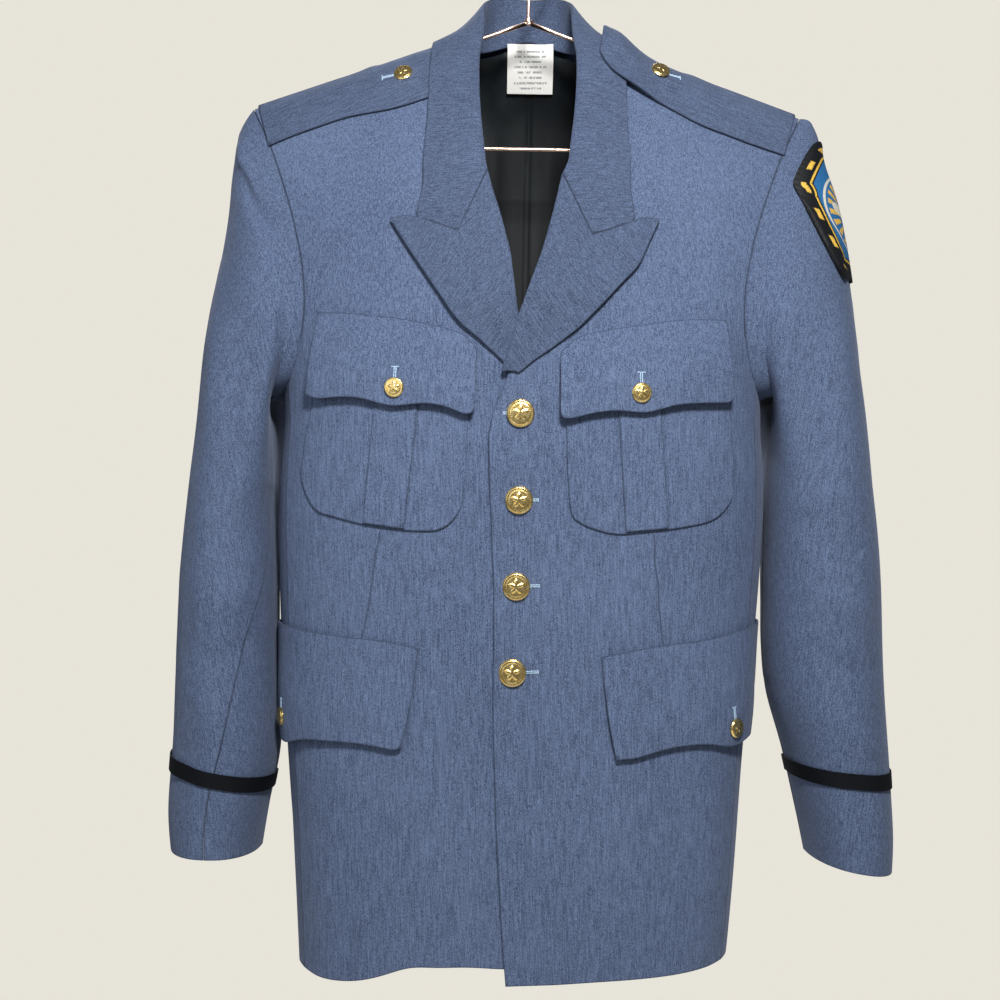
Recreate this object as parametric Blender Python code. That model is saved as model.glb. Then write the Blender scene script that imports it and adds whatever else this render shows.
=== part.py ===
"""A military-style blazer hanging on a wire hanger, in metres, +Z up.

The front faces -Y and the wearer's left is at +X. The origin is the top of the
inside of the hanger's hook, where a rail holds it. The body is worked out plumb
and leans with its hanger, by LEAN, about that point; the sleeves hang plumb.
Places on the body are given as distances round it from the centre front, and
as heights. Tables are in millimetres.
"""

import math

import bmesh
import bpy
import numpy as np

MM = 0.001

# Driving sizes
CLOTH = 2.0 * MM
TRIM = 1.5 * MM
TURNED_CLOTH = 1.5 * MM
SEAM_GAP = 0.4 * MM
LAID_GAP = 0.5 * MM
LEAN = 0.0175
SHOULDER_TOP = -73.5 * MM
SHOULDER_SLOPE = 0.354
NECK_HALF = 62 * MM
SECTION_POWER = 2.8
SIDE_TOP = -395 * MM
UNDERARM_DIP = 15 * MM
FRONT_SHARE = 0.80
BACK_SHARE = 1.25
WIRE = 3.5 * MM
LARGE_BUTTON = 22.5 * MM
SMALL_BUTTON = 16.0 * MM
HOOK_INSIDE = 19 * MM
HANGER_DROP = 4.7 * MM
CROSSBAR = -188 * MM
ARM_END = 200 * MM

# Grid counts
LOW_ROWS = 17
HIGH_ROWS = 10
FRONT_COLUMNS = 10
SIDE_COLUMNS = 4
BACK_COLUMNS = 7
RING = 24

# height, half width, front depth, back depth of the body
BODY = [
    (-900, 183, 98, 94),
    (-800, 189, 100, 92),
    (-720, 194, 101, 89),
    (-650, 199, 101, 86),
    (-580, 203, 102, 85),
    (-500, 206, 105, 90),
    (-410, 205, 107, 97),
    (-340, 212, 105, 99),
    (-280, 226, 101, 97),
    (-220, 242, 96, 92),
    (-160, 262, 90, 82),
    (-110, 275, 84, 70),
    (-60, 285, 80, 62),
]

# height, distance round from the centre front
ARMHOLE_FRONT = [
    (-395, 214),
    (-377, 201),
    (-361, 193),
    (-335, 188.5),
    (-309, 189),
    (-287, 193),
    (-260, 199),
    (-221, 213),
    (-197, 222),
    (-160, 241),
    (-120, 262),
]
# height, distance round from the centre back
ARMHOLE_BACK = [
    (-395, 195),
    (-370, 188),
    (-335, 188),
    (-300, 193),
    (-260, 203),
    (-200, 222),
    (-160, 240),
    (-120, 262),
]
# distance from the centre, height of the back neck's seam
NECK_BACK = [(0, -84), (20, -92), (40, -103), (54, -103), (62, -95.4)]
# height, distance round of the edge: the lapped front, then the front beneath it
EDGE_LEFT = [
    (-889, -6),
    (-857, -9),
    (-777, -15),
    (-672, -20),
    (-572, -21),
    (-532, -23),
    (-461, -27),
    (-439, -27),
    (-418, -24),
    (-405, -16),
    (-373, -8),
    (-344, 1),
    (-315, 12),
    (-289, 21),
    (-258, 29),
    (-226, 37),
    (-200, 45),
    (-160, 53),
    (-120, 59),
    (-95, 62),
    (-60, 62),
]
EDGE_RIGHT = [
    (-889, -23),
    (-440, -23),
    (-425, -13),
    (-395, 0),
    (-370, 6),
    (-344, 12),
    (-320, 14.5),
    (-294, 18),
    (-264, 26),
    (-242, 33),
    (-224, 39),
    (-200, 45),
    (-160, 53),
    (-120, 59),
    (-95, 62),
    (-60, 62),
]
# share across the front, height of the hem
HEM_LEFT = [(0, -888), (0.45, -884), (0.75, -881), (1, -877)]
HEM_RIGHT = [(0, -875), (0.3, -874), (0.5, -876), (0.68, -889), (0.85, -894), (1, -890)]

# outer x, outer z, inner x, inner z, front y, back y, bow towards the body
SLEEVE_RIGHT = [
    (247.5, -164, 222.5, -409, 68, 80, 27),
    (255, -184, 223.5, -418, 74, 84, 23),
    (259, -215, 223, -428, 78, 87, 19),
    (262.5, -255, 222.5, -441, 80, 88, 15),
    (269.5, -297, 222, -457, 80, 88, 11),
    (278, -340, 222, -474, 80, 86, 7),
    (283, -384, 221.5, -492, 79, 84, 4),
    (287, -428, 221.5, -513, 78.5, 81.5, 2),
    (292, -468, 221, -535, 77.5, 76.5, 0),
    (296.5, -506, 220, -557, 77.5, 71.5, 0),
    (300.5, -544, 220, -580, 77, 65, 0),
    (302.5, -575, 220, -606, 77, 59, 0),
    (304, -606, 219.5, -632, 76.5, 52.5, 0),
    (305, -636, 218.5, -658, 77, 46, 0),
    (306, -664, 217.5, -684, 77, 39, 0),
    (307, -692, 218.5, -712, 76.5, 33.5, 0),
    (309, -722, 224, -741, 76.5, 27.5, 0),
    (311, -757, 229, -768, 77.5, 22.5, 0),
    (308.5, -789, 233, -792, 77.5, 17.5, 0),
]
SLEEVE_LEFT = [
    (247, -169, 208.5, -411, 68, 80, 27),
    (252.5, -188, 209.5, -420, 74, 84, 23),
    (260, -220, 209, -430, 78, 87, 19),
    (269, -257, 208.5, -442, 80, 88, 15),
    (275.5, -298, 208, -458, 80, 88, 11),
    (280, -342, 207.5, -476, 80, 86, 7),
    (284, -386, 207, -495, 79, 84, 4),
    (289, -430, 206.5, -516, 78.5, 81.5, 2),
    (293, -472, 206, -538, 77.5, 76.5, 0),
    (297.5, -512, 205, -560, 77.5, 71.5, 0),
    (300.5, -550, 204.5, -584, 77, 65, 0),
    (302, -584.5, 203.5, -607.5, 77, 59, 0),
    (303, -619.5, 203.5, -631.5, 76.5, 52.5, 0),
    (304.5, -654, 205, -656, 77, 46, 0),
    (306.5, -686.5, 211.5, -681.5, 77, 39, 0),
    (308.5, -718, 219.5, -709, 76.5, 33.5, 0),
    (310, -749, 226, -738, 76.5, 27.5, 0),
    (311, -780, 232.5, -768, 77.5, 22.5, 0),
    (309.5, -808.5, 238, -796.5, 77.5, 17.5, 0),
]

RIGHT = -1
LEFT = 1


def cubic(rows, at):
    """Values of a smooth curve through the rows at a place in their first column."""
    rows = np.asarray(rows, float)
    place, values = rows[:, 0], rows[:, 1:]
    slope = np.gradient(values, place, axis=0)
    at = min(max(at, place[0]), place[-1])
    i = int(np.clip(np.searchsorted(place, at) - 1, 0, len(place) - 2))
    step = place[i + 1] - place[i]
    t = (at - place[i]) / step
    start = (2 * t**3 - 3 * t * t + 1) * values[i] + (t**3 - 2 * t * t + t) * step * slope[i]
    end = (3 * t * t - 2 * t**3) * values[i + 1] + (t**3 - t * t) * step * slope[i + 1]
    return start + end


def line(rows, at):
    """Value on the straight runs through the rows at a place in their first column."""
    rows = np.asarray(rows, float)
    return float(np.interp(at, rows[:, 0], rows[:, 1]))


def smooth(low, high, value):
    """0 below low, 1 above high, and a soft step between."""
    t = min(max((value - low) / (high - low), 0), 1)
    return t * t * (3 - 2 * t)


def unit(vector):
    """The vector with a length of one."""
    return np.asarray(vector, float) / np.linalg.norm(vector)


def leaned(point):
    """A plumb point, turned with the hanger about the hook."""
    x, y, z = point
    return np.array([x + LEAN * z, y, z - LEAN * x])


TURN = np.linspace(0, math.pi / 2, 181)
ROUND_SIN = np.sin(TURN) ** (2 / SECTION_POWER)
ROUND_COS = np.cos(TURN) ** (2 / SECTION_POWER)


def quarter(half_width, depth):
    """A quarter of the body's section: across, deep, and the distance round."""
    across = half_width * ROUND_SIN
    deep = depth * ROUND_COS
    steps = np.hypot(np.diff(across), np.diff(deep))
    return across, deep, np.concatenate([[0], np.cumsum(steps)])


def sections(height):
    """The front and back quarters of the body at a height."""
    half_width, front, back = cubic(BODY, height / MM) * MM
    return quarter(half_width, front), quarter(half_width, back)


def front_length(height):
    """Distance round from the centre front to the side."""
    return sections(height)[0][2][-1]


def back_length(height):
    """Distance round from the side to the centre back."""
    return sections(height)[1][2][-1]


def fullness(drop, reach):
    """How much of its depth the body has at a drop below the shoulder."""
    share = min(max(drop / reach, 0), 1)
    return (1 - (1 - share) ** 1.5) ** 0.62


def body_point(around, height):
    """A point of the body: around is 0 at the centre front, 1 at a side, 2 at the back."""
    side = 1 if around >= 0 else -1
    around = abs(around)
    if around > 2:
        side, around = -side, 4 - around
    front, back = sections(height)
    if around <= 1:
        at = around * front[2][-1]
        across = np.interp(at, front[2], front[0])
        deep = -np.interp(at, front[2], front[1])
        reach = 0.25
    else:
        at = (2 - around) * back[2][-1]
        across = np.interp(at, back[2], back[0])
        deep = np.interp(at, back[2], back[1])
        reach = 0.016 + 0.234 * smooth(0, 0.2, across)
    drop = SHOULDER_TOP - SHOULDER_SLOPE * across - height
    return leaned((side * across, deep * fullness(drop, reach), height))


def ridge_normal(side):
    """The upward direction square to the shoulder seam."""
    return unit(leaned((side * SHOULDER_SLOPE, 0, 1)))


def body_normal(around, height):
    """The outward direction of the body's surface."""
    across = abs(body_point(around, height)[0])
    over = SHOULDER_TOP - SHOULDER_SLOPE * across - height < 2 * MM
    if over and across > NECK_HALF - 8 * MM:
        return ridge_normal(math.copysign(1, around))
    turn = 0.02
    drop = 3 * MM
    along = body_point(around + turn, height) - body_point(around - turn, height)
    up = body_point(around, height) - body_point(around, height - drop)
    normal = unit(np.cross(along, up))
    middle = body_point(around, height)
    outward = np.array([middle[0], middle[1], 0])
    return normal if normal @ outward > 0 else -normal


def on_body(around, height, out=0.0):
    """A point of the body moved out from its surface."""
    return body_point(around, height) + out * body_normal(around, height)


def front_share(distance, height):
    """The place round the body of a distance from the centre front."""
    return distance / front_length(height)


def side_share(distance, height):
    """The place round the body of a distance from the centre front, past the side too."""
    front = front_length(height)
    if abs(distance) <= front:
        return distance / front
    past = (abs(distance) - front) / back_length(height)
    return math.copysign(1 + past, distance)


def shoulder_height(across):
    """Height of the shoulder seam, plumb, at a distance from the centre."""
    return SHOULDER_TOP - SHOULDER_SLOPE * across


def across_of(around, height):
    """Plumb distance of a body point from the centre."""
    point = body_point(around, height)
    return abs(point[0] - LEAN * height)


def around_of(across, height):
    """The place round the front of a plumb distance from the centre."""
    front = sections(height)[0]
    return np.interp(across, front[0], front[2]) / front[2][-1]


def front_around(side, share, height):
    """The place round the body of a share across a front, seam to armhole."""
    edge = line(EDGE_LEFT if side == LEFT else EDGE_RIGHT, height / MM) * MM
    if height <= SIDE_TOP:
        seam = FRONT_SHARE * front_length(height)
    else:
        seam = line(ARMHOLE_FRONT, height / MM) * MM
        seam *= FRONT_SHARE * front_length(SIDE_TOP) / (214 * MM) if height < -390 * MM else 1
    return side * (edge + share * (seam - edge)) / front_length(height)


def back_around(side, share, height):
    """The place round the body of a share across a back, seam to centre."""
    if height <= SIDE_TOP:
        seam = (2 - BACK_SHARE) * back_length(height)
    else:
        seam = line(ARMHOLE_BACK, height / MM) * MM
    return side * (2 - (1 - share) * seam / back_length(height))


def high_share(row):
    """Share of the way from the side top to the shoulder of an upper row."""
    return 1 - (1 - row / HIGH_ROWS) ** 1.4


def top_height(side, share, around):
    """Height where a column of a front or back meets the shoulder or neck."""
    height = -120 * MM
    for _ in range(40):
        across = across_of(around(side, share, height), height)
        goal = shoulder_height(max(across, 0))
        if across < NECK_HALF and around is back_around:
            goal = line(NECK_BACK, across / MM) * MM
        height = 0.5 * height + 0.5 * goal
    return height


def panel_heights(side, share, around, hem):
    """Heights of a panel's column from hem to top."""
    low = line(hem, share) * MM
    top = top_height(side, share, around)
    lower = [low + (SIDE_TOP - low) * row / LOW_ROWS for row in range(LOW_ROWS)]
    upper = [SIDE_TOP + (top - SIDE_TOP) * high_share(row) for row in range(HIGH_ROWS + 1)]
    return lower + upper


def lift(side, around, height):
    """How far the lapped front stands out over the front beneath it."""
    if side == RIGHT:
        return 0.0
    from_centre = around * front_length(height)
    high = 2.7 * MM + 2.5 * MM * smooth(-520 * MM, -425 * MM, height)
    fade = 1 - smooth(26 * MM, 75 * MM, from_centre)
    return high * fade * (1 - smooth(-330 * MM, -290 * MM, height))


def new_piece(name, colour, roughness, metallic=0.0):
    """An empty mesh object with its own Principled material."""
    mesh = bpy.data.meshes.new(name)
    piece = bpy.data.objects.new(name, mesh)
    bpy.context.collection.objects.link(piece)
    material = bpy.data.materials.new(name + "_material")
    material.use_nodes = True
    shader = material.node_tree.nodes["Principled BSDF"]
    shader.inputs["Base Color"].default_value = (*colour, 1)
    shader.inputs["Roughness"].default_value = roughness
    shader.inputs["Metallic"].default_value = metallic
    mesh.materials.append(material)
    return piece


WOOL = (0.115, 0.145, 0.215)
GOLD = (0.83, 0.60, 0.22)
BLACK = (0.012, 0.012, 0.014)


def fill(piece, points, faces):
    """Give a piece its mesh, with every face turned outward."""
    form = bmesh.new()
    corners = [form.verts.new(point) for point in points]
    for face in faces:
        form.faces.new([corners[i] for i in face])
    bmesh.ops.recalc_face_normals(form, faces=form.faces)
    form.to_mesh(piece.data)
    form.free()


def wall(name, outer, inner, colour=WOOL, roughness=0.9, ring=False):
    """A closed wall between an outer and an inner grid of points."""
    outer, inner = np.asarray(outer), np.asarray(inner)
    rows, columns = outer.shape[:2]
    points = [tuple(p) for p in outer.reshape(-1, 3)]
    points += [tuple(p) for p in inner.reshape(-1, 3)]
    back = rows * columns
    faces = []

    def at(row, column):
        return row * columns + column % columns

    spans = columns if ring else columns - 1
    for row in range(rows - 1):
        for column in range(spans):
            a, b = at(row, column), at(row, column + 1)
            c, d = at(row + 1, column + 1), at(row + 1, column)
            short = math.dist(points[a], points[c]) <= math.dist(points[b], points[d])
            halves = ((a, b, c), (a, c, d)) if short else ((a, b, d), (b, c, d))
            for half in halves:
                faces.append(half)
                faces.append(tuple(back + i for i in reversed(half)))
    for column in range(spans):
        for row in (0, rows - 1):
            start, end = at(row, column), at(row, column + 1)
            faces.append((start, end, back + end, back + start))
    if not ring:
        for row in range(rows - 1):
            for column in (0, columns - 1):
                start, end = at(row, column), at(row + 1, column)
                faces.append((start, end, back + end, back + start))
    piece = new_piece(name, colour, roughness)
    fill(piece, points, faces)
    return piece


def grid_normals(grid, ring=False):
    """Directions square to a grid of points, one for each."""
    grid = np.asarray(grid)
    if ring:
        along = np.roll(grid, -1, axis=1) - np.roll(grid, 1, axis=1)
    else:
        along = np.gradient(grid, axis=1)
    down = np.gradient(grid, axis=0)
    normals = np.cross(along, down)
    return normals / np.linalg.norm(normals, axis=2, keepdims=True)


def facing(normals, direction):
    """The normals, all turned to the side that the middle one shares with a direction."""
    rows, columns = normals.shape[:2]
    middle = normals[rows // 2, columns // 2]
    return normals if middle @ np.asarray(direction) > 0 else -normals


def drawn_in(outer, inner, edges, gap=SEAM_GAP):
    """Both grids with the named edges moved in by half a seam's gap."""
    outer, inner = np.array(outer), np.array(inner)
    moves = {
        "start": ((0, slice(None)), (1, slice(None))),
        "end": ((-1, slice(None)), (-2, slice(None))),
        "left": ((slice(None), 0), (slice(None), 1)),
        "right": ((slice(None), -1), (slice(None), -2)),
    }
    for edge in edges:
        here, beside = moves[edge]
        middle = (outer[here] + inner[here]) / 2
        towards = (outer[beside] + inner[beside]) / 2 - middle
        step = towards / np.linalg.norm(towards, axis=1, keepdims=True) * gap / 2
        outer[here] = outer[here] + step
        inner[here] = inner[here] + step
    return outer, inner


class Armhole:
    """The loop where a sleeve is set in, with its shared seam directions."""

    def __init__(self, side):
        table = SLEEVE_LEFT if side == LEFT else SLEEVE_RIGHT
        hem = HEM_LEFT if side == LEFT else HEM_RIGHT
        front = panel_heights(side, 1.0, front_around, hem)[LOW_ROWS:]
        back = panel_heights(side, 0.0, back_around, hem)[LOW_ROWS:]
        places = [(front_around(side, 1.0, z), z) for z in reversed(front)]
        for column in range(1, SIDE_COLUMNS):
            places.append(side_top(side, column))
        places += [(back_around(side, 0.0, z), z) for z in back]
        places.pop()
        self.points = np.array([body_point(*place) for place in places])
        body_normals = np.array([body_normal(*place) for place in places])
        self.local = armhole_shape(self.points * (side, 1, 1))
        rings = [sleeve_ring(side, row, self.local) for row in range(1, len(table) + 1)]
        self.grid = np.array([self.points] + rings)
        normals = grid_normals(self.grid, ring=True)
        normals = facing(normals, -self.grid[len(rings) // 2].mean(axis=0)
                         + self.grid[len(rings) // 2, RING // 2])
        self.normals = normals
        self.mitre = np.array([unit(b + s) for b, s in zip(body_normals, normals[0])])
        tangent = np.roll(self.points, -1, axis=0) - np.roll(self.points, 1, axis=0)
        away = np.cross(self.mitre, tangent)
        away /= np.linalg.norm(away, axis=1, keepdims=True)
        towards = self.grid[1] - self.points
        sign = np.sign(np.sum(away * towards, axis=1, keepdims=True))
        self.away = away * sign


def side_top(side, column):
    """The place at the top of a side body's column."""
    share = column / SIDE_COLUMNS
    around = FRONT_SHARE + (BACK_SHARE - FRONT_SHARE) * share
    return side * around, SIDE_TOP - UNDERARM_DIP * math.sin(math.pi * share)


def armhole_shape(points):
    """The armhole's loop along, across and bowed from its own outer to inner points."""
    half = RING // 2
    tip, under = points[0], points[half]
    centre = np.array([(tip[0] + under[0]) / 2, 0, (tip[2] + under[2]) / 2])
    reach = np.array([(tip[0] - under[0]) / 2, 0, (tip[2] - under[2]) / 2])
    aside = np.array([-reach[2], 0, reach[0]]) / np.linalg.norm(reach)
    if aside[0] > 0:
        aside = -aside
    along = (points - centre) @ reach / (reach @ reach)
    bow = (points - centre) @ aside
    depth = np.abs(points[:, 1])
    depth[:half] /= depth[:half].max()
    depth[half:] /= depth[half:].max()
    return along, depth, np.clip(bow / bow.max(), 0, 1)


def oval_shape(side, row):
    """An even oval's loop, along and across; the wearer's right one turns towards the cuff."""
    turn = np.linspace(0, math.pi, 241)
    across = np.sign(np.cos(turn)) * np.abs(np.cos(turn)) ** (2 / 2.25)
    deep = np.sin(turn) ** (2 / 2.25)
    run = np.concatenate([[0], np.cumsum(np.hypot(np.diff(across), np.diff(deep)))])
    turned = 5.0 * smooth(6, 18, row) if side == RIGHT else 0.0
    shares = (np.arange(RING) - turned) / RING % 1.0
    at = np.where(shares <= 0.5, shares, 1 - shares) * 2 * run[-1]
    return np.interp(at, run, across), np.interp(at, run, deep), shares <= 0.5


def sleeve_ring(side, row, local):
    """One ring of a sleeve: the armhole's shape at the top, an oval further down."""
    table = SLEEVE_LEFT if side == LEFT else SLEEVE_RIGHT
    outer_x, outer_z, inner_x, inner_z, front, back, bow = np.array(table[row - 1]) * MM
    centre = np.array([(outer_x + inner_x) / 2, 0, (outer_z + inner_z) / 2])
    reach = np.array([(outer_x - inner_x) / 2, 0, (outer_z - inner_z) / 2])
    mix = smooth(0, 8, row)
    along, across, near = oval_shape(side, row)
    along = (1 - mix) * local[0] + mix * along
    bowed = (1 - mix) * local[2] + mix * across**2
    across = (1 - mix) * local[1] + mix * across
    ring = centre + np.outer(along, reach)
    ring[:, 0] -= bow * bowed
    ring[:, 1] = np.where(near, -front, back) * across
    return ring * (side, 1, 1)


def sleeve_place(armhole, row, column, out):
    """A point between a sleeve's rings and columns, moved out from its surface."""
    low = min(int(row), len(armhole.grid) - 2)
    t = row - low
    left = int(math.floor(column))
    s = column - left
    corners = [(low, left, (1 - t) * (1 - s)), (low, left + 1, (1 - t) * s),
               (low + 1, left, t * (1 - s)), (low + 1, left + 1, t * s)]
    point = sum(share * armhole.grid[r, c % RING] for r, c, share in corners)
    normal = sum(share * armhole.normals[r, c % RING] for r, c, share in corners)
    return point + out * unit(normal)


def panel(side, around, hem, columns):
    """Outer and inner grids of a front or back, rows from hem to shoulder."""
    outer, inner = [], []
    heights = [panel_heights(side, c / columns, around, hem) for c in range(columns + 1)]
    for row in range(LOW_ROWS + HIGH_ROWS + 1):
        outer_row, inner_row = [], []
        for column in range(columns + 1):
            height = heights[column][row]
            place = around(side, column / columns, height)
            rise = lift(side, place, height) if around is front_around else 0.0
            outer_row.append(on_body(place, height, rise))
            inner_row.append(on_body(place, height, rise - CLOTH))
        outer.append(outer_row)
        inner.append(inner_row)
    return np.array(outer), np.array(inner)


def add_fronts_and_backs(side, armhole):
    """The front, side and back of one half of the body."""
    name = "left" if side == LEFT else "right"
    hem = HEM_LEFT if side == LEFT else HEM_RIGHT
    last = RING - HIGH_ROWS
    outer, inner = panel(side, front_around, hem, FRONT_COLUMNS)
    for row in range(HIGH_ROWS + 1):
        k = HIGH_ROWS - row
        outer[LOW_ROWS + row, -1] = armhole.points[k]
        inner[LOW_ROWS + row, -1] = armhole.points[k] - CLOTH * armhole.mitre[k]
    outer, inner = drawn_in(outer, inner, ("end", "right"))
    wall("front_" + name, outer, inner)

    back_hem = [(0, hem[-1][1]), (1, -882)]
    outer, inner = panel(side, back_around, back_hem, BACK_COLUMNS)
    for row in range(HIGH_ROWS + 1):
        k = (last + row) % RING
        outer[LOW_ROWS + row, 0] = armhole.points[k]
        inner[LOW_ROWS + row, 0] = armhole.points[k] - CLOTH * armhole.mitre[k]
    outer, inner = drawn_in(outer, inner, ("end", "left", "right"))
    wall("back_" + name, outer, inner)

    outer, inner = [], []
    low = hem[-1][1] * MM
    for row in range(LOW_ROWS + 1):
        outer_row, inner_row = [], []
        for column in range(SIDE_COLUMNS + 1):
            place, top = side_top(side, column)
            height = low + (top - low) * row / LOW_ROWS
            k = HIGH_ROWS + column
            if row == LOW_ROWS:
                outer_row.append(armhole.points[k])
                inner_row.append(armhole.points[k] - CLOTH * armhole.mitre[k])
            else:
                outer_row.append(on_body(place, height))
                inner_row.append(on_body(place, height, -CLOTH))
        outer.append(outer_row)
        inner.append(inner_row)
    outer, inner = drawn_in(outer, inner, ("end", "left", "right"))
    wall("side_" + name, outer, inner)


# the sleeve's columns from its hind seam to its forearm seam
HIND_SEAM = -4
FOREARM_SEAM = {LEFT: 12, RIGHT: 11}


def add_sleeve(side, armhole):
    """The top sleeve and under sleeve of one arm."""
    name = "left" if side == LEFT else "right"
    spans = (("top", HIND_SEAM, FOREARM_SEAM[side]), ("under", FOREARM_SEAM[side], HIND_SEAM + RING))
    for part, first, last in spans:
        columns = [k % RING for k in range(first, last + 1)]
        outer = armhole.grid[:, columns].copy()
        inner = outer - CLOTH * armhole.normals[:, columns]
        inner[0] = armhole.points[columns] - CLOTH * armhole.mitre[columns]
        outer[0] += SEAM_GAP * 0.75 * armhole.away[columns]
        inner[0] += SEAM_GAP * 0.75 * armhole.away[columns]
        outer, inner = drawn_in(outer, inner, ("left", "right"))
        wall("sleeve_" + part + "_" + name, outer, inner)


# distance round, height along each lapel's roll line, then its outer edge, then its top
ROLL_LEFT = [(29, -226), (22, -258), (14, -289), (5, -315), (-5, -344), (-14, -373), (-18, -389)]
ROLL_RIGHT = [(32, -224), (27, -242), (20, -264), (12, -294), (5, -344), (-2, -370), (-7, -388)]
OUTER_LEFT = [(109, -261), (92, -300), (63, -333), (43, -354), (19, -373), (3, -384), (-3, -390)]
OUTER_RIGHT = [(111, -264), (94, -291), (77, -316), (54, -349), (39, -361), (18, -380), (9, -389)]
GORGE_LEFT = [(29, -226), (42, -252), (54, -276), (72, -270), (89, -262.5), (98, -260), (109, -261)]
GORGE_RIGHT = [(32, -224), (44, -250), (55, -275), (72, -269), (90, -263), (100, -262), (111, -264)]
# share across, height of the visible face over the front
LAPEL_RISE = [(0, 0.8), (0.17, 4.2), (0.34, 3.4), (0.5, 2.8), (1, 2.8)]
LAPEL_ROWS = 12


def along_run(rows, share):
    """The place a share of the way along a run of points, on the straight."""
    rows = np.asarray(rows, float)
    run = np.concatenate([[0], np.cumsum(np.hypot(*np.diff(rows, axis=0).T))])
    return np.array([np.interp(share * run[-1], run, rows[:, i]) for i in (0, 1)])


def add_lapel(side):
    """A lapel turned back from its roll line, with the turn at its edge."""
    name = "left" if side == LEFT else "right"
    roll = ROLL_LEFT if side == LEFT else ROLL_RIGHT
    edge = OUTER_LEFT if side == LEFT else OUTER_RIGHT
    gorge = np.array(GORGE_LEFT if side == LEFT else GORGE_RIGHT, float)
    columns = len(gorge) - 1
    low_roll, low_edge = np.array(roll[-1], float), np.array(edge[-1], float)
    visible = []
    for row in range(LAPEL_ROWS + 1):
        r = row / LAPEL_ROWS
        start, end = along_run(roll, r), along_run(edge, r)
        size = min(1, np.linalg.norm(end - start) / 14)
        across = unit(end - start)
        soft = smooth(-365, -320, start[1]) if side == RIGHT else 1
        line_points = [(start + 5 * size * across, -1.6), (start + 1.6 * size * across, -1.2)]
        line_points += [(start, 0.8), (start + 1.5 * size * across, 2.3 + 0.7 * soft)]
        for column in range(1, columns + 1):
            c = column / columns
            flat = (1 - c) * start + c * end
            flat += (1 - r) * (gorge[column] - (1 - c) * gorge[0] - c * gorge[-1])
            rise = line(LAPEL_RISE, c)
            line_points.append((flat, 2.5 + (rise - 2.5) * (soft if c < 0.5 else 1)))
        points = []
        for (distance, height), out in line_points:
            height *= MM
            place = side * distance * MM / front_length(height)
            points.append(on_body(place, height, out * MM + lift(side, place, height)))
        visible.append(points)
    add_turned("lapel_" + name, np.array(visible), ("start",))


def add_turned(name, visible, edges):
    """A wall whose given face shows, thick on its other side, closed round a turn."""
    normals = grid_normals(visible)
    middle = visible.shape[1] - 3
    normals = facing_front(normals, middle, visible)
    inner = visible - TURNED_CLOTH * normals
    outer, inner = drawn_in(visible, inner, edges)
    wall(name, outer, inner)


def facing_front(normals, column, grid):
    """The normals, turned so that those of a column point away from the neck."""
    away = grid[len(grid) // 3, column] - np.array([0, 0.02, -0.15])
    return normals if normals[len(grid) // 3, column] @ away > 0 else -normals


# distance round and height, on the front, of the outer edge, the fold and the neck seam;
# then the rise of the outer edge
COLLAR_FRONT = [
    (86, -238, 34, -212, 39, -213, 2.8),
    (86, -214, 35.5, -199, 43, -201, 3.0),
    (84, -184, 39, -169, 48, -171, 3.6),
    (83, -153, 41, -137, 51, -140, 4.4),
    (83, -125, 41, -113, 56, -117, 4.8),
]
# x, y, z of the outer edge, the fold and the neck seam, plumb
COLLAR_BACK = [
    (82, -3, -96.5, 38.5, -9, -89, 58, -1, -95.2),
    (77, 22, -103, 38, 12, -65, 50.5, 24, -97.5),
    (62, 46, -109, 35.5, 33, -50, 38.5, 38, -95),
    (36, 66, -106, 24, 50, -43.5, 20, 46.5, -88),
    (0, 77, -103, 0, 58, -42, 0, 51.5, -81.5),
]


def collar_line(outer, fold, seam, normal, bulge):
    """The visible face of the collar across one station, seam to outer edge."""
    across = unit(outer - fold)
    turn = fold + 1.6 * MM * across - 2.0 * MM * normal
    points = [seam, (seam + turn) / 2, turn, fold]
    points.append(fold + 1.6 * MM * across + 2.2 * MM * normal)
    near = fold + 8 * MM * across + 3.4 * MM * normal
    for share in (0, 0.2, 0.4, 0.6, 0.8, 1):
        points.append(near + (outer - near) * share + bulge * math.sin(math.pi * share) * normal)
    return points


def collar_half(side):
    """Stations of half the collar, from the gorge to the centre back."""
    stations = []
    for row in COLLAR_FRONT:
        places = np.array(row[:6]).reshape(3, 2) * MM
        rises = (row[6] * MM, 0.8 * MM, -1.2 * MM)
        stations.append([on_body(side * u / front_length(z), z, rise)
                         for (u, z), rise in zip(places, rises)])
    for row in COLLAR_BACK:
        points = np.array(row).reshape(3, 3) * (side, 1, 1) * MM
        stations.append([leaned(point) for point in points])
    folds = np.array([station[1] for station in stations])
    gorge = np.array(GORGE_LEFT if side == LEFT else GORGE_RIGHT, float)
    start = gorge_line(side, gorge)
    along = np.gradient(np.vstack([[start[3]], folds]), axis=0)[1:]
    if side == LEFT:
        along[-1] = (-1, 0, 0)
    else:
        along[-1] = (1, 0, 0)
    lines = [start]
    for (outer, fold, seam), step, z in zip(stations, along, range(len(stations))):
        normal = unit(np.cross(step, outer - fold))
        away = fold - np.array([0, 0.02, fold[2]])
        normal = normal if normal @ away > 0 else -normal
        bulge = (1.0 + 3.0 * smooth(4, 7, z)) * MM
        lines.append(collar_line(outer, fold, seam, normal, bulge))
    return lines


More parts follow.
